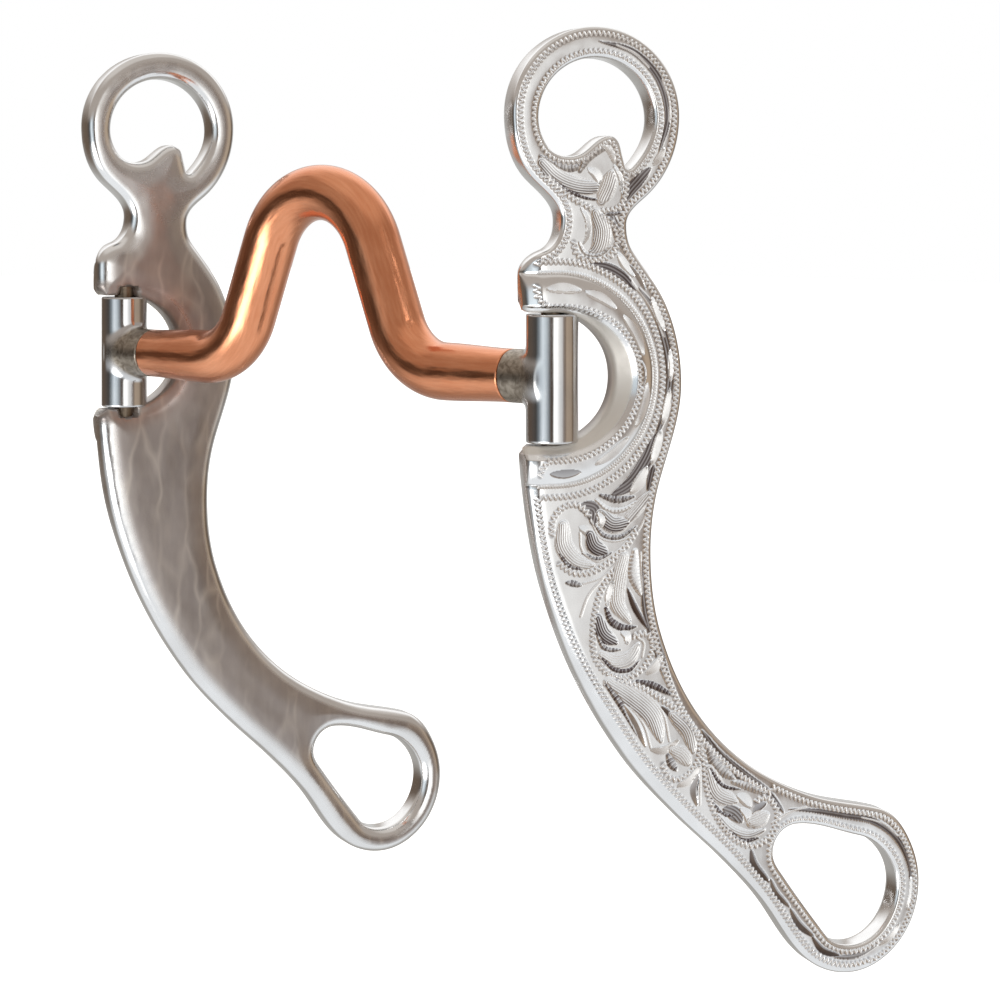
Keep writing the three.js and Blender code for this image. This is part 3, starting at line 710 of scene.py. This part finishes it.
def sheet(field, edge, height, layers):
    """One face of the cheek down to the top of its wall.

    Returns points (u, v, n), faces, the last loops of points, their places on the outlines, and
    each point's painted shading."""
    quads, loops = face_quads(field, edge)
    used, compact = np.unique(quads, return_inverse=True)
    faces = compact.reshape(quads.shape).tolist()
    number = {int(old): new for new, old in enumerate(used)}
    shortest = 30
    loops = [[number[int(p)] for p in loop] for loop in loops if len(loop) > shortest]
    grids = (field.grid_u, field.grid_v, field.distance, field.cut, field.tone)
    u, v, distance, cut, tone = [grid.ravel()[used] for grid in grids]
    flat = np.stack((u, v), axis=1)

    places = []
    tiny = 0.15
    rim = np.concatenate([np.array(loop) for loop in loops])
    on_edge, place = nearest_on_edge(flat[rim])
    away = flat[rim] - on_edge
    away /= np.linalg.norm(away, axis=1)[:, None]
    flat[rim] = on_edge + away * edge
    distance[rim] = edge
    cut[rim] = 0
    tone[rim] = 0
    top = height(*flat.T, distance)
    stepped_in = flat[rim] + away * tiny
    slope = (height(*stepped_in.T, distance[rim] + tiny) - top[rim]) / tiny
    steepest = math.radians(50)
    lean = np.clip(np.arctan(slope), 0, steepest)
    points = [np.column_stack((flat, top - cut))]
    painted_shadings = [tone]

    total = len(flat)
    start = 0
    last_loops = []
    for loop in loops:
        size = len(loop)
        here = slice(start, start + size)
        start += size
        previous = list(loop)
        radius = edge / (1 - np.sin(lean[here]))
        for k in range(1, layers + 1):
            angle = lean[here] + (math.pi / 2 - lean[here]) * k / layers
            ring = on_edge[here] + away[here] * (radius * (1 - np.sin(angle)))[:, None]
            round_off = radius * wall_drop(ring[:, 0], ring[:, 1])
            level = top[loop] - round_off * (np.cos(lean[here]) - np.cos(angle))
            points.append(np.column_stack((ring, level)))
            painted_shadings.append(np.zeros(size))
            current = list(range(total, total + size))
            total += size
            for i in range(size):
                j = (i + 1) % size
                faces.append([previous[j], previous[i], current[i], current[j]])
            previous = current
        last_loops.append(previous)
        places.append(place[here])
    return np.concatenate(points), faces, last_loops, places, np.concatenate(painted_shadings)


def zip_wall(loop_a, place_a, loop_b, place_b):
    """Triangles between two loops that follow the same outline, matched by place along it."""
    low, high = place_a.min(), place_a.max()
    span = high - low + 1

    def unroll(loop, place):
        order = int(np.argmin(place))
        loop = loop[order:] + loop[:order]
        place = np.roll(place, -order)
        direction = np.sign(np.median(np.diff(place)))
        if direction < 0:
            loop = loop[:1] + loop[:0:-1]
            place = np.concatenate((place[:1], place[:0:-1]))
        place = np.maximum.accumulate(place)
        return loop + loop[:1], np.append(place, place[0] + span), direction

    loop_a, place_a, direction = unroll(loop_a, place_a)
    loop_b, place_b, _ = unroll(loop_b, place_b)
    faces = []
    i = j = 0
    while i < len(loop_a) - 1 or j < len(loop_b) - 1:
        step_a = j == len(loop_b) - 1 or (i < len(loop_a) - 1 and place_a[i + 1] <= place_b[j + 1])
        if step_a:
            faces.append([loop_a[i], loop_a[i + 1], loop_b[j]])
            i += 1
        else:
            faces.append([loop_a[i], loop_b[j + 1], loop_b[j]])
            j += 1
    if direction > 0:
        faces = [face[::-1] for face in faces]
    return faces


def cheek_surface():
    """The whole cheek: points (u, v, n), faces, and for each point its painted shading, its share of
    polished inner face, whose darker colour is partly painted reflection, and its share of the window's
    satin bevel."""
    fine = Field(FINE, reach=3.4)
    engrave(fine)
    off_edge = smoothstep(OUTER_EDGE - 0.1, OUTER_EDGE + 0.15, fine.distance)
    fine.cut *= off_edge
    fine.tone *= off_edge
    outer_sheet = sheet(fine, OUTER_EDGE, outer_height, layers=7)
    inner_sheet = sheet(coarse, INNER_EDGE, inner_height, layers=6)
    outer, outer_faces, outer_loops, outer_places, outer_painted_shading = outer_sheet
    inner, inner_faces, inner_loops, inner_places, inner_painted_shading = inner_sheet
    inner = inner * (1, 1, -1)
    shift = len(outer)
    faces = outer_faces + [[p + shift for p in face[::-1]] for face in inner_faces]
    for loop, place in zip(outer_loops, outer_places):
        match = np.argmin([abs(other.mean() - place.mean()) for other in inner_places])
        across = [p + shift for p in inner_loops[match]]
        faces += zip_wall(loop, place, across, inner_places[match])

    u, v = inner[:, 0], inner[:, 1]
    # The polished inner face takes a darker, browner colour that is partly painted reflection of dark
    # surroundings. It fades out over a wider band towards the front edges, so the paler colour left on
    # those rounded edges is a painted highlight. It stays near the window and thins up on the ring.
    fade = 0.9 + 2.4 * front_side(u, v) * smoothstep(36, 28, v)
    on_face = smoothstep(0, 1, (coarse.sample(coarse.distance, u, v) - INNER_EDGE) / fade)
    by_window = smoothstep(WINDOW_R + 4.5, WINDOW_R + 2.5, window_place(u, v)[0])
    polish_and_painted_reflection = np.maximum(on_face, by_window) * (1 - 0.35 * smoothstep(22, 40, v))
    rho, crest = window_place(outer[:, 0], outer[:, 1])
    satin = smoothstep(crest - 0.8, crest - 1.4, rho)
    painted_shadings = np.concatenate((outer_painted_shading, inner_painted_shading))
    polish_and_painted_reflection = np.concatenate((np.zeros(len(outer)), polish_and_painted_reflection))
    satin = np.concatenate((satin, np.zeros(len(inner))))
    return np.concatenate((outer, inner)), faces, painted_shadings, polish_and_painted_reflection, satin


# ---------------------------------------------------------------- mesh helpers
def make_object(name, points, faces, material, sharp_degrees):
    """A smooth-shaded mesh object with its sharper edges kept sharp."""
    mesh = bpy.data.meshes.new(name)
    mesh.from_pydata([tuple(p) for p in np.asarray(points).tolist()], [], faces)
    mesh.polygons.foreach_set("use_smooth", [True] * len(mesh.polygons))
    mesh.set_sharp_from_angle(angle=math.radians(sharp_degrees))
    mesh.materials.append(material)
    mesh.update()
    obj = bpy.data.objects.new(name, mesh)
    bpy.context.scene.collection.objects.link(obj)
    return obj


def add_attribute(obj, name, values):
    layer = obj.data.attributes.new(name, "FLOAT", "POINT")
    layer.data.foreach_set("value", np.asarray(values, np.float32))


# ---------------------------------------------------------------- materials
class Nodes:
    """Short names for building a node tree, of a material or of the world."""

    def __init__(self, tree):
        self.tree = tree

    def add(self, kind, **settings):
        node = self.tree.nodes.new("ShaderNode" + kind)
        for name, value in settings.items():
            setattr(node, name, value)
        return node

    def feed(self, socket, value):
        """Links an output to the socket, or sets the socket to a number, a vector or a colour."""
        if hasattr(value, "is_linked"):
            self.tree.links.new(value, socket)
        elif socket.type == "RGBA":
            socket.default_value = (*value, 1)
        else:
            socket.default_value = value

    def dot(self, a, b):
        node = self.add("VectorMath", operation="DOT_PRODUCT")
        self.feed(node.inputs[0], a)
        self.feed(node.inputs[1], b)
        return node.outputs["Value"]

    def range(self, value, low, high, out_low=0, out_high=1, blend="LINEAR"):
        node = self.add("MapRange", interpolation_type=blend)
        self.feed(node.inputs["Value"], value)
        ends = {"From Min": low, "From Max": high, "To Min": out_low, "To Max": out_high}
        for name, number in ends.items():
            self.feed(node.inputs[name], number)
        return node.outputs["Result"]

    def ease(self, value, low, high):
        return self.range(value, low, high, blend="SMOOTHSTEP")

    def math(self, operation, a, b):
        node = self.add("Math", operation=operation)
        self.feed(node.inputs[0], a)
        self.feed(node.inputs[1], b)
        return node.outputs[0]

    def plus(self, a, b):
        return self.math("ADD", a, b)

    def minus(self, a, b):
        return self.math("SUBTRACT", a, b)

    def times(self, a, b):
        return self.math("MULTIPLY", a, b)

    def mix(self, factor, a, b):
        """Colour a where the factor is 0, and colour b where it is 1."""
        node = self.add("Mix", data_type="RGBA")
        self.feed(node.inputs["Factor"], factor)
        self.feed(node.inputs[6], a)
        self.feed(node.inputs[7], b)
        return node.outputs[2]


class Surface(Nodes):
    """One material."""

    def __init__(self, name, metallic=1.0):
        self.material = bpy.data.materials.new(name)
        self.material.use_nodes = True
        super().__init__(self.material.node_tree)
        self.where = self.add("TexCoord").outputs["Object"]
        self.set("Metallic", metallic)

    def set(self, name, value):
        self.feed(self.tree.nodes["Principled BSDF"].inputs[name], value)

    def attribute(self, name, output="Fac"):
        return self.add("Attribute", attribute_name=name).outputs[output]

    def texture(self, kind, where, **inputs):
        node = self.add("Tex" + kind)
        for name, value in inputs.items():
            self.feed(node.inputs[name], value)
        self.feed(node.inputs["Vector"], where)
        return node

    def stretched(self, where, stretch):
        node = self.add("Mapping")
        self.feed(node.inputs["Scale"], stretch)
        self.feed(node.inputs["Vector"], where)
        return node.outputs["Vector"]

    def noise(self, scale, detail, stretch=None, where=None):
        where = where or self.where
        if stretch:
            where = self.stretched(where, stretch)
        return self.texture("Noise", where, Scale=scale, Detail=detail).outputs["Fac"]

    def cell_edges(self, scale, stretch, where):
        """Distance to the straight edges of a network of stretched cells."""
        node = self.texture("Voronoi", self.stretched(where, stretch), Scale=scale)
        node.feature = "DISTANCE_TO_EDGE"
        return node.outputs["Distance"]

    def warped(self, scale, amount):
        """The object's coordinates pushed about by a coarse noise."""
        push = self.texture("Noise", self.where, Scale=scale, Detail=1.0).outputs["Color"]
        node = self.add("VectorMath", operation="MULTIPLY_ADD")
        for socket, value in zip(node.inputs, (push, (amount, amount, amount), self.where)):
            self.feed(socket, value)
        return node.outputs["Vector"]

    def bump(self, height, strength, distance, after=None):
        node = self.add("Bump")
        for name, value in (("Strength", strength), ("Distance", distance), ("Height", height)):
            self.feed(node.inputs[name], value)
        if after:
            self.feed(node.inputs["Normal"], after)
        return node.outputs["Normal"]


def aluminium_material():
    """Cast aluminium. The engraved face takes painted light and shade from its painted shading, with the
    painted highlights made partly diffuse white; the inner face is polished and browner, partly as
    painted dark reflection; and the window's bevel is satin."""
    n = Surface("cast_aluminium")
    tone = n.attribute("tone")
    inner = n.attribute("inner_face_painted_reflection")
    satin = n.attribute("satin")
    cloud = n.noise(60, 4)
    patches = n.range(cloud, 0.35, 0.7)
    painted_highlight = n.range(tone, 0.1, 0.9)

    engraved = n.mix(patches, (0.78, 0.77, 0.76), (0.89, 0.885, 0.88))
    # painted shade: the colour darkens towards near-black where the painted shading is negative
    engraved = n.mix(n.range(tone, -0.05, -0.75), engraved, (0.11, 0.085, 0.085))
    # painted highlight: the colour goes near-white where the painted shading is positive
    engraved = n.mix(painted_highlight, engraved, (0.99, 0.985, 0.98))
    engraved = n.mix(n.times(satin, 0.8), engraved, (0.87, 0.83, 0.76))

    veins = n.range(n.cell_edges(150, (1, 1, 0.2), n.warped(90, 0.006)), 0.0, 0.1, 1, 0)
    veins = n.times(veins, n.range(n.noise(45, 2), 0.42, 0.62))
    brushing = n.noise(420, 2, stretch=(1, 1, 0.3))
    # the inner face's dark brown colour is partly painted reflection of dark surroundings, with real
    # brushing and veins over it
    polish_and_painted_reflection = n.mix(patches, (0.36, 0.315, 0.295), (0.45, 0.40, 0.375))
    polish_and_painted_reflection = n.mix(n.range(brushing, 0.4, 0.75, 0, 0.3), polish_and_painted_reflection, (0.62, 0.56, 0.50))
    polish_and_painted_reflection = n.mix(n.times(veins, 0.45), polish_and_painted_reflection, (0.74, 0.67, 0.60))
    n.set("Base Color", n.mix(inner, engraved, polish_and_painted_reflection))

    # painted highlights are made less metallic, so they show as diffuse white
    metal = n.minus(n.minus(1.0, n.times(painted_highlight, 0.5)), n.times(inner, 0.45))
    n.set("Metallic", n.math("MAXIMUM", n.minus(metal, n.times(satin, 0.6)), 0.0))

    rough = n.plus(n.range(n.noise(900, 3), 0.3, 0.7, 0.12, 0.2), n.range(tone, 0.1, 0.9, 0, 0.3))
    rough = n.times(n.plus(rough, n.times(satin, 0.35)), n.minus(1.0, inner))
    n.set("Roughness", n.plus(rough, n.times(inner, n.range(cloud, 0.3, 0.7, 0.28, 0.4))))

    waves = n.bump(n.noise(75, 2), 0.4, 0.0012)
    scratches = n.noise(500, 2, stretch=(1, 1, 0.12))
    n.set("Normal", n.bump(scratches, 0.05, 0.0002, waves))
    return n.material


def steel_material():
    """Turned steel for the barrels, darker and rubbed where the brushed attribute marks their stubs."""
    n = Surface("turned_steel")
    brushed = n.attribute("brushed")
    turned = n.mix(n.range(n.noise(120, 4), 0.3, 0.7), (0.62, 0.62, 0.63), (0.72, 0.71, 0.70))
    swirls = n.noise(900, 4, where=n.warped(300, 0.004))
    rubbed = n.mix(n.range(swirls, 0.35, 0.65), (0.23, 0.19, 0.15), (0.45, 0.39, 0.32))
    n.set("Base Color", n.mix(brushed, turned, rubbed))
    lines = n.noise(700, 3, stretch=(1, 1, 0.08))
    n.set("Roughness", n.plus(n.range(lines, 0.3, 0.7, 0.08, 0.2), n.times(brushed, 0.2)))
    n.set("Normal", n.bump(lines, 0.06, 0.0002))
    return n.material


# Steel darkened to dark brown as painted shade, because the pins show only in the shaded recesses beside
# the barrels.
def pin_material():
    n = Surface("pin_steel_painted_shade")
    cloud = n.noise(400, 3)
    n.set("Base Color", n.mix(n.range(cloud, 0.35, 0.65), (0.13, 0.10, 0.075), (0.24, 0.19, 0.14)))
    n.set("Roughness", n.range(cloud, 0.3, 0.7, 0.28, 0.42))
    n.set("Normal", n.bump(cloud, 0.05, 0.0002))
    return n.material


def copper_material():
    """Polished copper. Its streaks run along the bar, which the grain attribute unrolls."""
    n = Surface("polished_copper")
    grain = n.attribute("grain", "Vector")
    streaks = n.noise(1.6, 4, stretch=(0.12, 1, 1), where=grain)
    shade = n.plus(n.range(n.noise(70, 4), 0.3, 0.7, 0, 0.5), n.range(streaks, 0.3, 0.7, 0, 0.5))
    n.set("Base Color", n.mix(shade, (0.70, 0.245, 0.11), (0.88, 0.38, 0.20)))
    n.set("Roughness", n.range(streaks, 0.3, 0.7, 0.14, 0.27))
    n.set("Coat Weight", 0.35)
    n.set("Coat Roughness", 0.12)
    waves = n.bump(n.noise(0.3, 2, stretch=(0.3, 1, 1), where=grain), 0.25, 0.0009)
    n.set("Normal", n.bump(streaks, 0.08, 0.0002, waves))
    return n.material


def floor_material():
    """The camera sees it as plain white, so no horizon shows. Light falling on it meets pale grey."""
    n = Surface("floor_paint", metallic=0.0)
    n.set("Base Color", (0.5, 0.48, 0.46))
    n.set("Roughness", 0.8)
    n.set("Emission Color", (1, 1, 1))
    n.set("Emission Strength", n.add("LightPath").outputs["Is Camera Ray"])
    return n.material


aluminium = aluminium_material()
steel = steel_material()
copper = copper_material()


# ---------------------------------------------------------------- cheeks
def stand_up(points, pin, swing, outward):
    """Cheek points (u, v, n) in millimetres to the frame's metres; outward is -1 near, 1 off."""
    s = math.radians(swing)
    back = np.array((math.cos(s), math.sin(s), 0))
    out = outward * np.array((-math.sin(s), math.cos(s), 0))
    up = np.array((0, 0, 1))
    return np.array(pin) + MM * (points[:, :1] * back + points[:, 1:2] * up + points[:, 2:] * out)


surface, cheek_faces, painted_shadings, polish_and_painted_reflection, satin = cheek_surface()
mirrored_faces = [face[::-1] for face in cheek_faces]
for side, pin, swing, outward, faces in (
    ("near", near_pin, NEAR_SWING, -1, cheek_faces),
    ("off", off_pin, OFF_SWING, 1, mirrored_faces),
):
    points = stand_up(surface, pin, swing, outward)
    cheek = make_object(side + "_cheek_engraved", points, faces, aluminium, sharp_degrees=40)
    add_attribute(cheek, "tone", painted_shadings)
    add_attribute(cheek, "inner_face_painted_reflection", polish_and_painted_reflection)
    add_attribute(cheek, "satin", satin)
    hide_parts(side + "_cheek")
    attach(cheek, side + "_side")


# ---------------------------------------------------------------- mouthpiece
def port_line(reach, spacing=0.6):
    """The bar's centre line in the plane of Y and Z, in millimetres, from -Y to +Y."""
    rise = (PORT_TOP_R + PORT_FOOT_R) * (1 - math.cos(PORT_SLOPE))
    leg = (PORT_HEIGHT - rise) / math.sin(PORT_SLOPE)
    foot_at = (PORT_TOP_R + PORT_FOOT_R) * math.sin(PORT_SLOPE) + leg * math.cos(PORT_SLOPE)
    turn = np.linspace(0, PORT_SLOPE, 60)
    line = [(PORT_TOP_R * math.sin(a), PORT_HEIGHT - PORT_TOP_R * (1 - math.cos(a))) for a in turn]
    line += [(foot_at - PORT_FOOT_R * math.sin(a), PORT_FOOT_R * (1 - math.cos(a))) for a in turn[::-1]]
    line.append((reach, 0))
    half = respace(np.array(line), spacing)
    return np.concatenate((half[::-1] * (-1, 1), half[1:]))


def copper_bar(reach):
    """A tube along the port's line, with softened rims at its ends."""
    sides = 64
    soft = 0.25
    bore = CORE_R + GAP
    line = port_line(reach)
    ahead = np.gradient(line, axis=0)
    ahead /= np.linalg.norm(ahead, axis=1)[:, None]
    across = np.stack((-ahead[:, 1], ahead[:, 0]), axis=1)
    walked = lengths_along(line)
    from_end = np.minimum(walked, walked[-1] - walked)
    thick = BAR_R + BAR_SWELL * smoothstep(0, SWELL_LENGTH, from_end)

    # Each ring: which point of the line, the radius, and how far it is moved along the line.
    rim = [(bore, 0), (BAR_R - soft, 0), (BAR_R - 0.3 * soft, 0.3 * soft), (BAR_R, soft)]
    last = len(line) - 1
    rings = [(0, radius, shift) for radius, shift in rim]
    rings += [(i, thick[i], 0) for i in range(1, last)]
    rings += [(last, radius, -shift) for radius, shift in reversed(rim)]
    rings += [(i, bore, 0) for i in range(last - 1, 0, -1)]

    angle = np.linspace(0, 2 * math.pi, sides, endpoint=False)
    points = []
    grain = []
    for i, radius, shift in rings:
        x = radius * np.sin(angle)
        side = radius * np.cos(angle)
        points.append(np.column_stack((x, line[i] + ahead[i] * shift + side[:, None] * across[i])))
        grain.append(np.column_stack((np.full(sides, walked[i]), x, side)))
    middle = (np.array(near_pin) + np.array(off_pin)) / 2
    faces = []
    for ring in range(len(rings)):
        here = ring * sides
        following = (ring + 1) % len(rings) * sides
        for k in range(sides):
            m = (k + 1) % sides
            faces.append([here + k, here + m, following + m, following + k])
    points = middle + MM * np.concatenate(points)
    tube = make_object("copper_port_bar", points, faces, copper, sharp_degrees=50)
    layer = tube.data.attributes.new("grain", "FLOAT_VECTOR", "POINT")
    layer.data.foreach_set("vector", np.concatenate(grain).astype(np.float32).ravel())
    return tube


half_spacing = (off_pin.y - near_pin.y) / 2 / MM
sleeve = copper_bar(half_spacing - STUB_END)
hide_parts("copper_sleeve")
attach(sleeve, "mouthpiece")


# ---------------------------------------------------------------- T-ends
def rounded_cylinder(beyond_side, beyond_end, soft):
    """Distance outside a cylinder with softened rims, from the distances beyond its side and end."""
    side = beyond_side + soft
    end = beyond_end + soft
    return np.minimum(np.maximum(side, end), 0) + np.hypot(np.maximum(side, 0), np.maximum(end, 0)) - soft


def t_end_distance(p):
    """Distance outside a T-end's surface: barrel and stub joined by fillets, less bore and socket."""
    x, y, z = p[..., 0], p[..., 1], p[..., 2]
    soft = 0.4
    barrel = rounded_cylinder(np.hypot(x, y) - BARREL_R, np.abs(z) - BARREL_H / 2, soft)
    stub_end = np.maximum(y - STUB_END + GAP, -y)
    stub = rounded_cylinder(np.hypot(x, z) - BAR_R, stub_end, soft / 2)
    blend = 2.1
    h = np.clip(blend - np.abs(barrel - stub), 0, None) / blend
    solid = np.minimum(barrel, stub) - h * h * blend / 4
    play = 0.1
    bore = np.hypot(x, y) - PIN_R - play
    socket = np.maximum(np.hypot(x, z) - CORE_R - GAP, SOCKET_BOTTOM - y)
    return np.maximum(solid, -np.minimum(bore, socket))


def surface_net(distance, low, high, step):
    """A closed mesh of quads where distance is zero, pulled on to it afterwards."""
    axes = [np.arange(a, b + step, step) for a, b in zip(low, high)]
    grid = np.stack(np.meshgrid(*axes, indexing="ij"), axis=-1)
    value = distance(grid)
    solid = value < 0
    shape = np.array(value.shape) - 1
    corners = [(i, j, k) for i in (0, 1) for j in (0, 1) for k in (0, 1)]

    def corner_of(array, c):
        return array[c[0]:c[0] + shape[0], c[1]:c[1] + shape[1], c[2]:c[2] + shape[2]]

    count = sum(corner_of(solid, c).astype(int) for c in corners)
    mixed = (count > 0) & (count < 8)
    number = np.full(mixed.shape, -1)
    number[mixed] = np.arange(mixed.sum())
    total = np.zeros((mixed.sum(), 3))
    weight = np.zeros(mixed.sum())
    for a in corners:
        for axis in range(3):
            if a[axis]:
                continue
            b = tuple(1 if i == axis else a[i] for i in range(3))
            va, vb = corner_of(value, a)[mixed], corner_of(value, b)[mixed]
            crossing = (va < 0) != (vb < 0)
            share = np.where(crossing, va / (va - vb + 1e-20), 0)[:, None]
            pa, pb = corner_of(grid, a)[mixed], corner_of(grid, b)[mixed]
            total += np.where(crossing[:, None], pa + share * (pb - pa), 0)
            weight += crossing
    points = total / weight[:, None]
    faces = []
    for axis in range(3):
        i, j = (axis + 1) % 3, (axis + 2) % 3
        first = np.moveaxis(solid, axis, 0)[:-1]
        second = np.moveaxis(solid, axis, 0)[1:]
        edges = np.argwhere(np.moveaxis(first != second, 0, axis))
        inner = np.all([(edges[:, a] > 0) & (edges[:, a] < shape[a]) for a in (i, j)], axis=0)
        edges = edges[inner]
        ring = []
        for di, dj in ((1, 1), (0, 1), (0, 0), (1, 0)):
            cell = edges.copy()
            cell[:, i] -= di
            cell[:, j] -= dj
            ring.append(number[tuple(cell.T)])
        quads = np.stack(ring, axis=1)
        leaving = solid[tuple(edges.T)]
        quads[~leaving] = quads[~leaving][:, ::-1]
        faces += quads.tolist()
    tiny = 0.01
    pulls = 3
    for _ in range(pulls):
        here = distance(points)
        steps = [distance(points + tiny * np.eye(3)[a]) - here for a in range(3)]
        slope = np.stack(steps, axis=1) / tiny
        points -= 0.8 * here[:, None] * slope / ((slope**2).sum(axis=1)[:, None] + 0.1)
    return points, faces


# The grid's box is a little larger than the T-end, whose stub points along Y.
end_points, end_faces = surface_net(
    t_end_distance, low=(-7.2, -6.6, -14.8), high=(7.2, 11.6, 14.8), step=0.3
)
on_stub = smoothstep(BARREL_R + 0.1, BARREL_R + 1.1, np.hypot(end_points[:, 0], end_points[:, 1]))
for side, pin, turn in (("near", near_pin, 1), ("off", off_pin, -1)):
    placed = np.array(pin) + MM * end_points * (turn, turn, 1)
    end = make_object(side + "_t_end_steel", placed, end_faces, steel, sharp_degrees=45)
    add_attribute(end, "brushed", on_stub)
    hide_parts(side + "_t_end")
    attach(end, "mouthpiece")

# The pins and the core keep their CAD solids, in steel darkened to dark brown as painted shade.
pin_steel_painted_shade = pin_material()
for node in ("near_hinge_pin", "off_hinge_pin", "mouthpiece_core"):
    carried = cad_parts[node]
    carried.data.materials.clear()
    carried.data.materials.append(pin_steel_painted_shade)

# ---------------------------------------------------------------- camera
AZIMUTH = math.radians(-49.6)
CAMERA_LEFT = 0.01121  # the camera's place from the near pin, in metres
CAMERA_BACK = 0.51724
CAMERA_UP = 0.03879
LENS_SHIFT = -0.302  # downwards, as a share of the picture's width

right = Vector((math.cos(AZIMUTH), math.sin(AZIMUTH), 0))
forward = Vector((-math.sin(AZIMUTH), math.cos(AZIMUTH), 0))
up = Vector((0, 0, 1))


def studio_camera():
    """The photo's view: level, with the lens shifted down."""
    data = bpy.data.cameras.new("camera")
    data.lens = 86.4
    data.sensor_width = 36
    data.clip_start = 0.01
    camera = bpy.data.objects.new("camera", data)
    bpy.context.scene.collection.objects.link(camera)
    camera.location = near_pin - CAMERA_LEFT * right - CAMERA_BACK * forward + CAMERA_UP * up
    camera.rotation_euler = (math.pi / 2, 0, AZIMUTH)
    bpy.context.scene.camera = camera

    # A driver multiplies the shift by the number of the camera's rotation mode: 1 for the Euler
    # rotation above, and 0 for a quaternion. So a view that turns the camera by a quaternion is
    # centred on the bit.
    shift = data.driver_add("shift_y")
    shift.driver.type = "SUM"
    mode = shift.driver.variables.new()
    mode.targets[0].id = camera
    mode.targets[0].data_path = "rotation_mode"
    line = shift.modifiers[0] if len(shift.modifiers) else shift.modifiers.new("GENERATOR")
    line.coefficients = (0, LENS_SHIFT)


studio_camera()

# ---------------------------------------------------------------- light and floor
# What the metal mirrors near the horizon, by the angle round the bit from the camera's side, in
# degrees and positive towards the camera's right.
STUDIO = [
    (-180, (0.70, 0.70, 0.69)), (-152, (0.56, 0.56, 0.55)), (-137, (0.15, 0.11, 0.08)),
    (-104, (0.13, 0.10, 0.08)), (-74, (0.08, 0.075, 0.07)), (-60, (0.26, 0.30, 0.33)),
    (-42, (0.98, 1.08, 1.15)), (-26, (0.66, 0.74, 0.80)), (-12, (0.24, 0.25, 0.26)),
    (-5, (0.11, 0.08, 0.06)), (3, (0.09, 0.065, 0.05)), (8, (1.9, 1.9, 1.88)), (24, (1.5, 1.5, 1.48)),
    (33, (0.98, 0.98, 0.97)), (44, (0.80, 0.79, 0.78)), (50, (0.36, 0.31, 0.28)),
    (58, (0.23, 0.17, 0.13)), (66, (0.52, 0.41, 0.31)), (92, (0.46, 0.36, 0.27)),
    (102, (0.18, 0.13, 0.09)), (128, (0.16, 0.13, 0.11)), (145, (0.60, 0.59, 0.58)),
    (180, (0.70, 0.70, 0.69)),
]


def studio_world():
    """The ramp round the horizon, a sky, a pale ground, a backdrop behind the bit and one low lamp.
    The camera itself sees plain white."""
    world = bpy.data.worlds.new("studio")
    world.use_nodes = True
    n = Nodes(world.node_tree)
    direction = n.add("TexCoord").outputs["Generated"]
    height = n.dot(direction, up)
    ahead = n.dot(direction, forward)
    turn = n.math("ARCTAN2", n.dot(direction, right), n.dot(direction, -forward))

    ramp = n.add("ValToRGB")
    n.feed(ramp.inputs["Fac"], n.plus(n.math("DIVIDE", turn, 2 * math.pi), 0.5))
    stops = ramp.color_ramp.elements
    while len(stops) < len(STUDIO):
        stops.new(0.5)
    for stop, (angle, _) in zip(stops, STUDIO):
        stop.position = angle / 360 + 0.5
    for stop, (_, colour) in zip(stops, STUDIO):
        stop.color = (*colour, 1)

    light = n.mix(n.ease(height, 0.05, 0.3), ramp.outputs["Color"], (0.46, 0.41, 0.37))
    light = n.mix(n.ease(height, 0.6, 0.85), light, (0.70, 0.66, 0.62))
    ground_light = n.mix(n.ease(ahead, -0.1, 0.5), (0.91, 0.94, 0.97), (0.43, 0.42, 0.40))
    light = n.mix(n.ease(height, -0.12, -0.5), light, ground_light)
    backdrop = n.times(n.ease(ahead, 0.2, 0.7), n.ease(height, 0.2, 0.45))
    light = n.mix(backdrop, light, (1.2, 1.2, 1.2))
    degrees = n.times(turn, 180 / math.pi)
    lamp_width = n.times(n.ease(degrees, -72, -42), n.ease(degrees, -6, -30))
    lamp_height = n.times(n.ease(height, -0.16, -0.3), n.ease(height, -0.62, -0.36))
    light = n.mix(n.times(lamp_width, lamp_height), light, (6.0, 6.0, 6.0))
    seen = n.add("LightPath").outputs["Is Camera Ray"]
    n.feed(n.tree.nodes["Background"].inputs["Color"], n.mix(seen, light, (1, 1, 1)))
    bpy.context.scene.world = world


studio_world()
bpy.context.scene.view_settings.view_transform = "Standard"

floor_gap = 0.004
bpy.ops.mesh.primitive_plane_add(size=8, location=(0, 0, cad_box[0].z - floor_gap))
floor = bpy.context.object
floor.name = "floor"
floor.visible_glossy = False
floor.data.materials.append(floor_material())
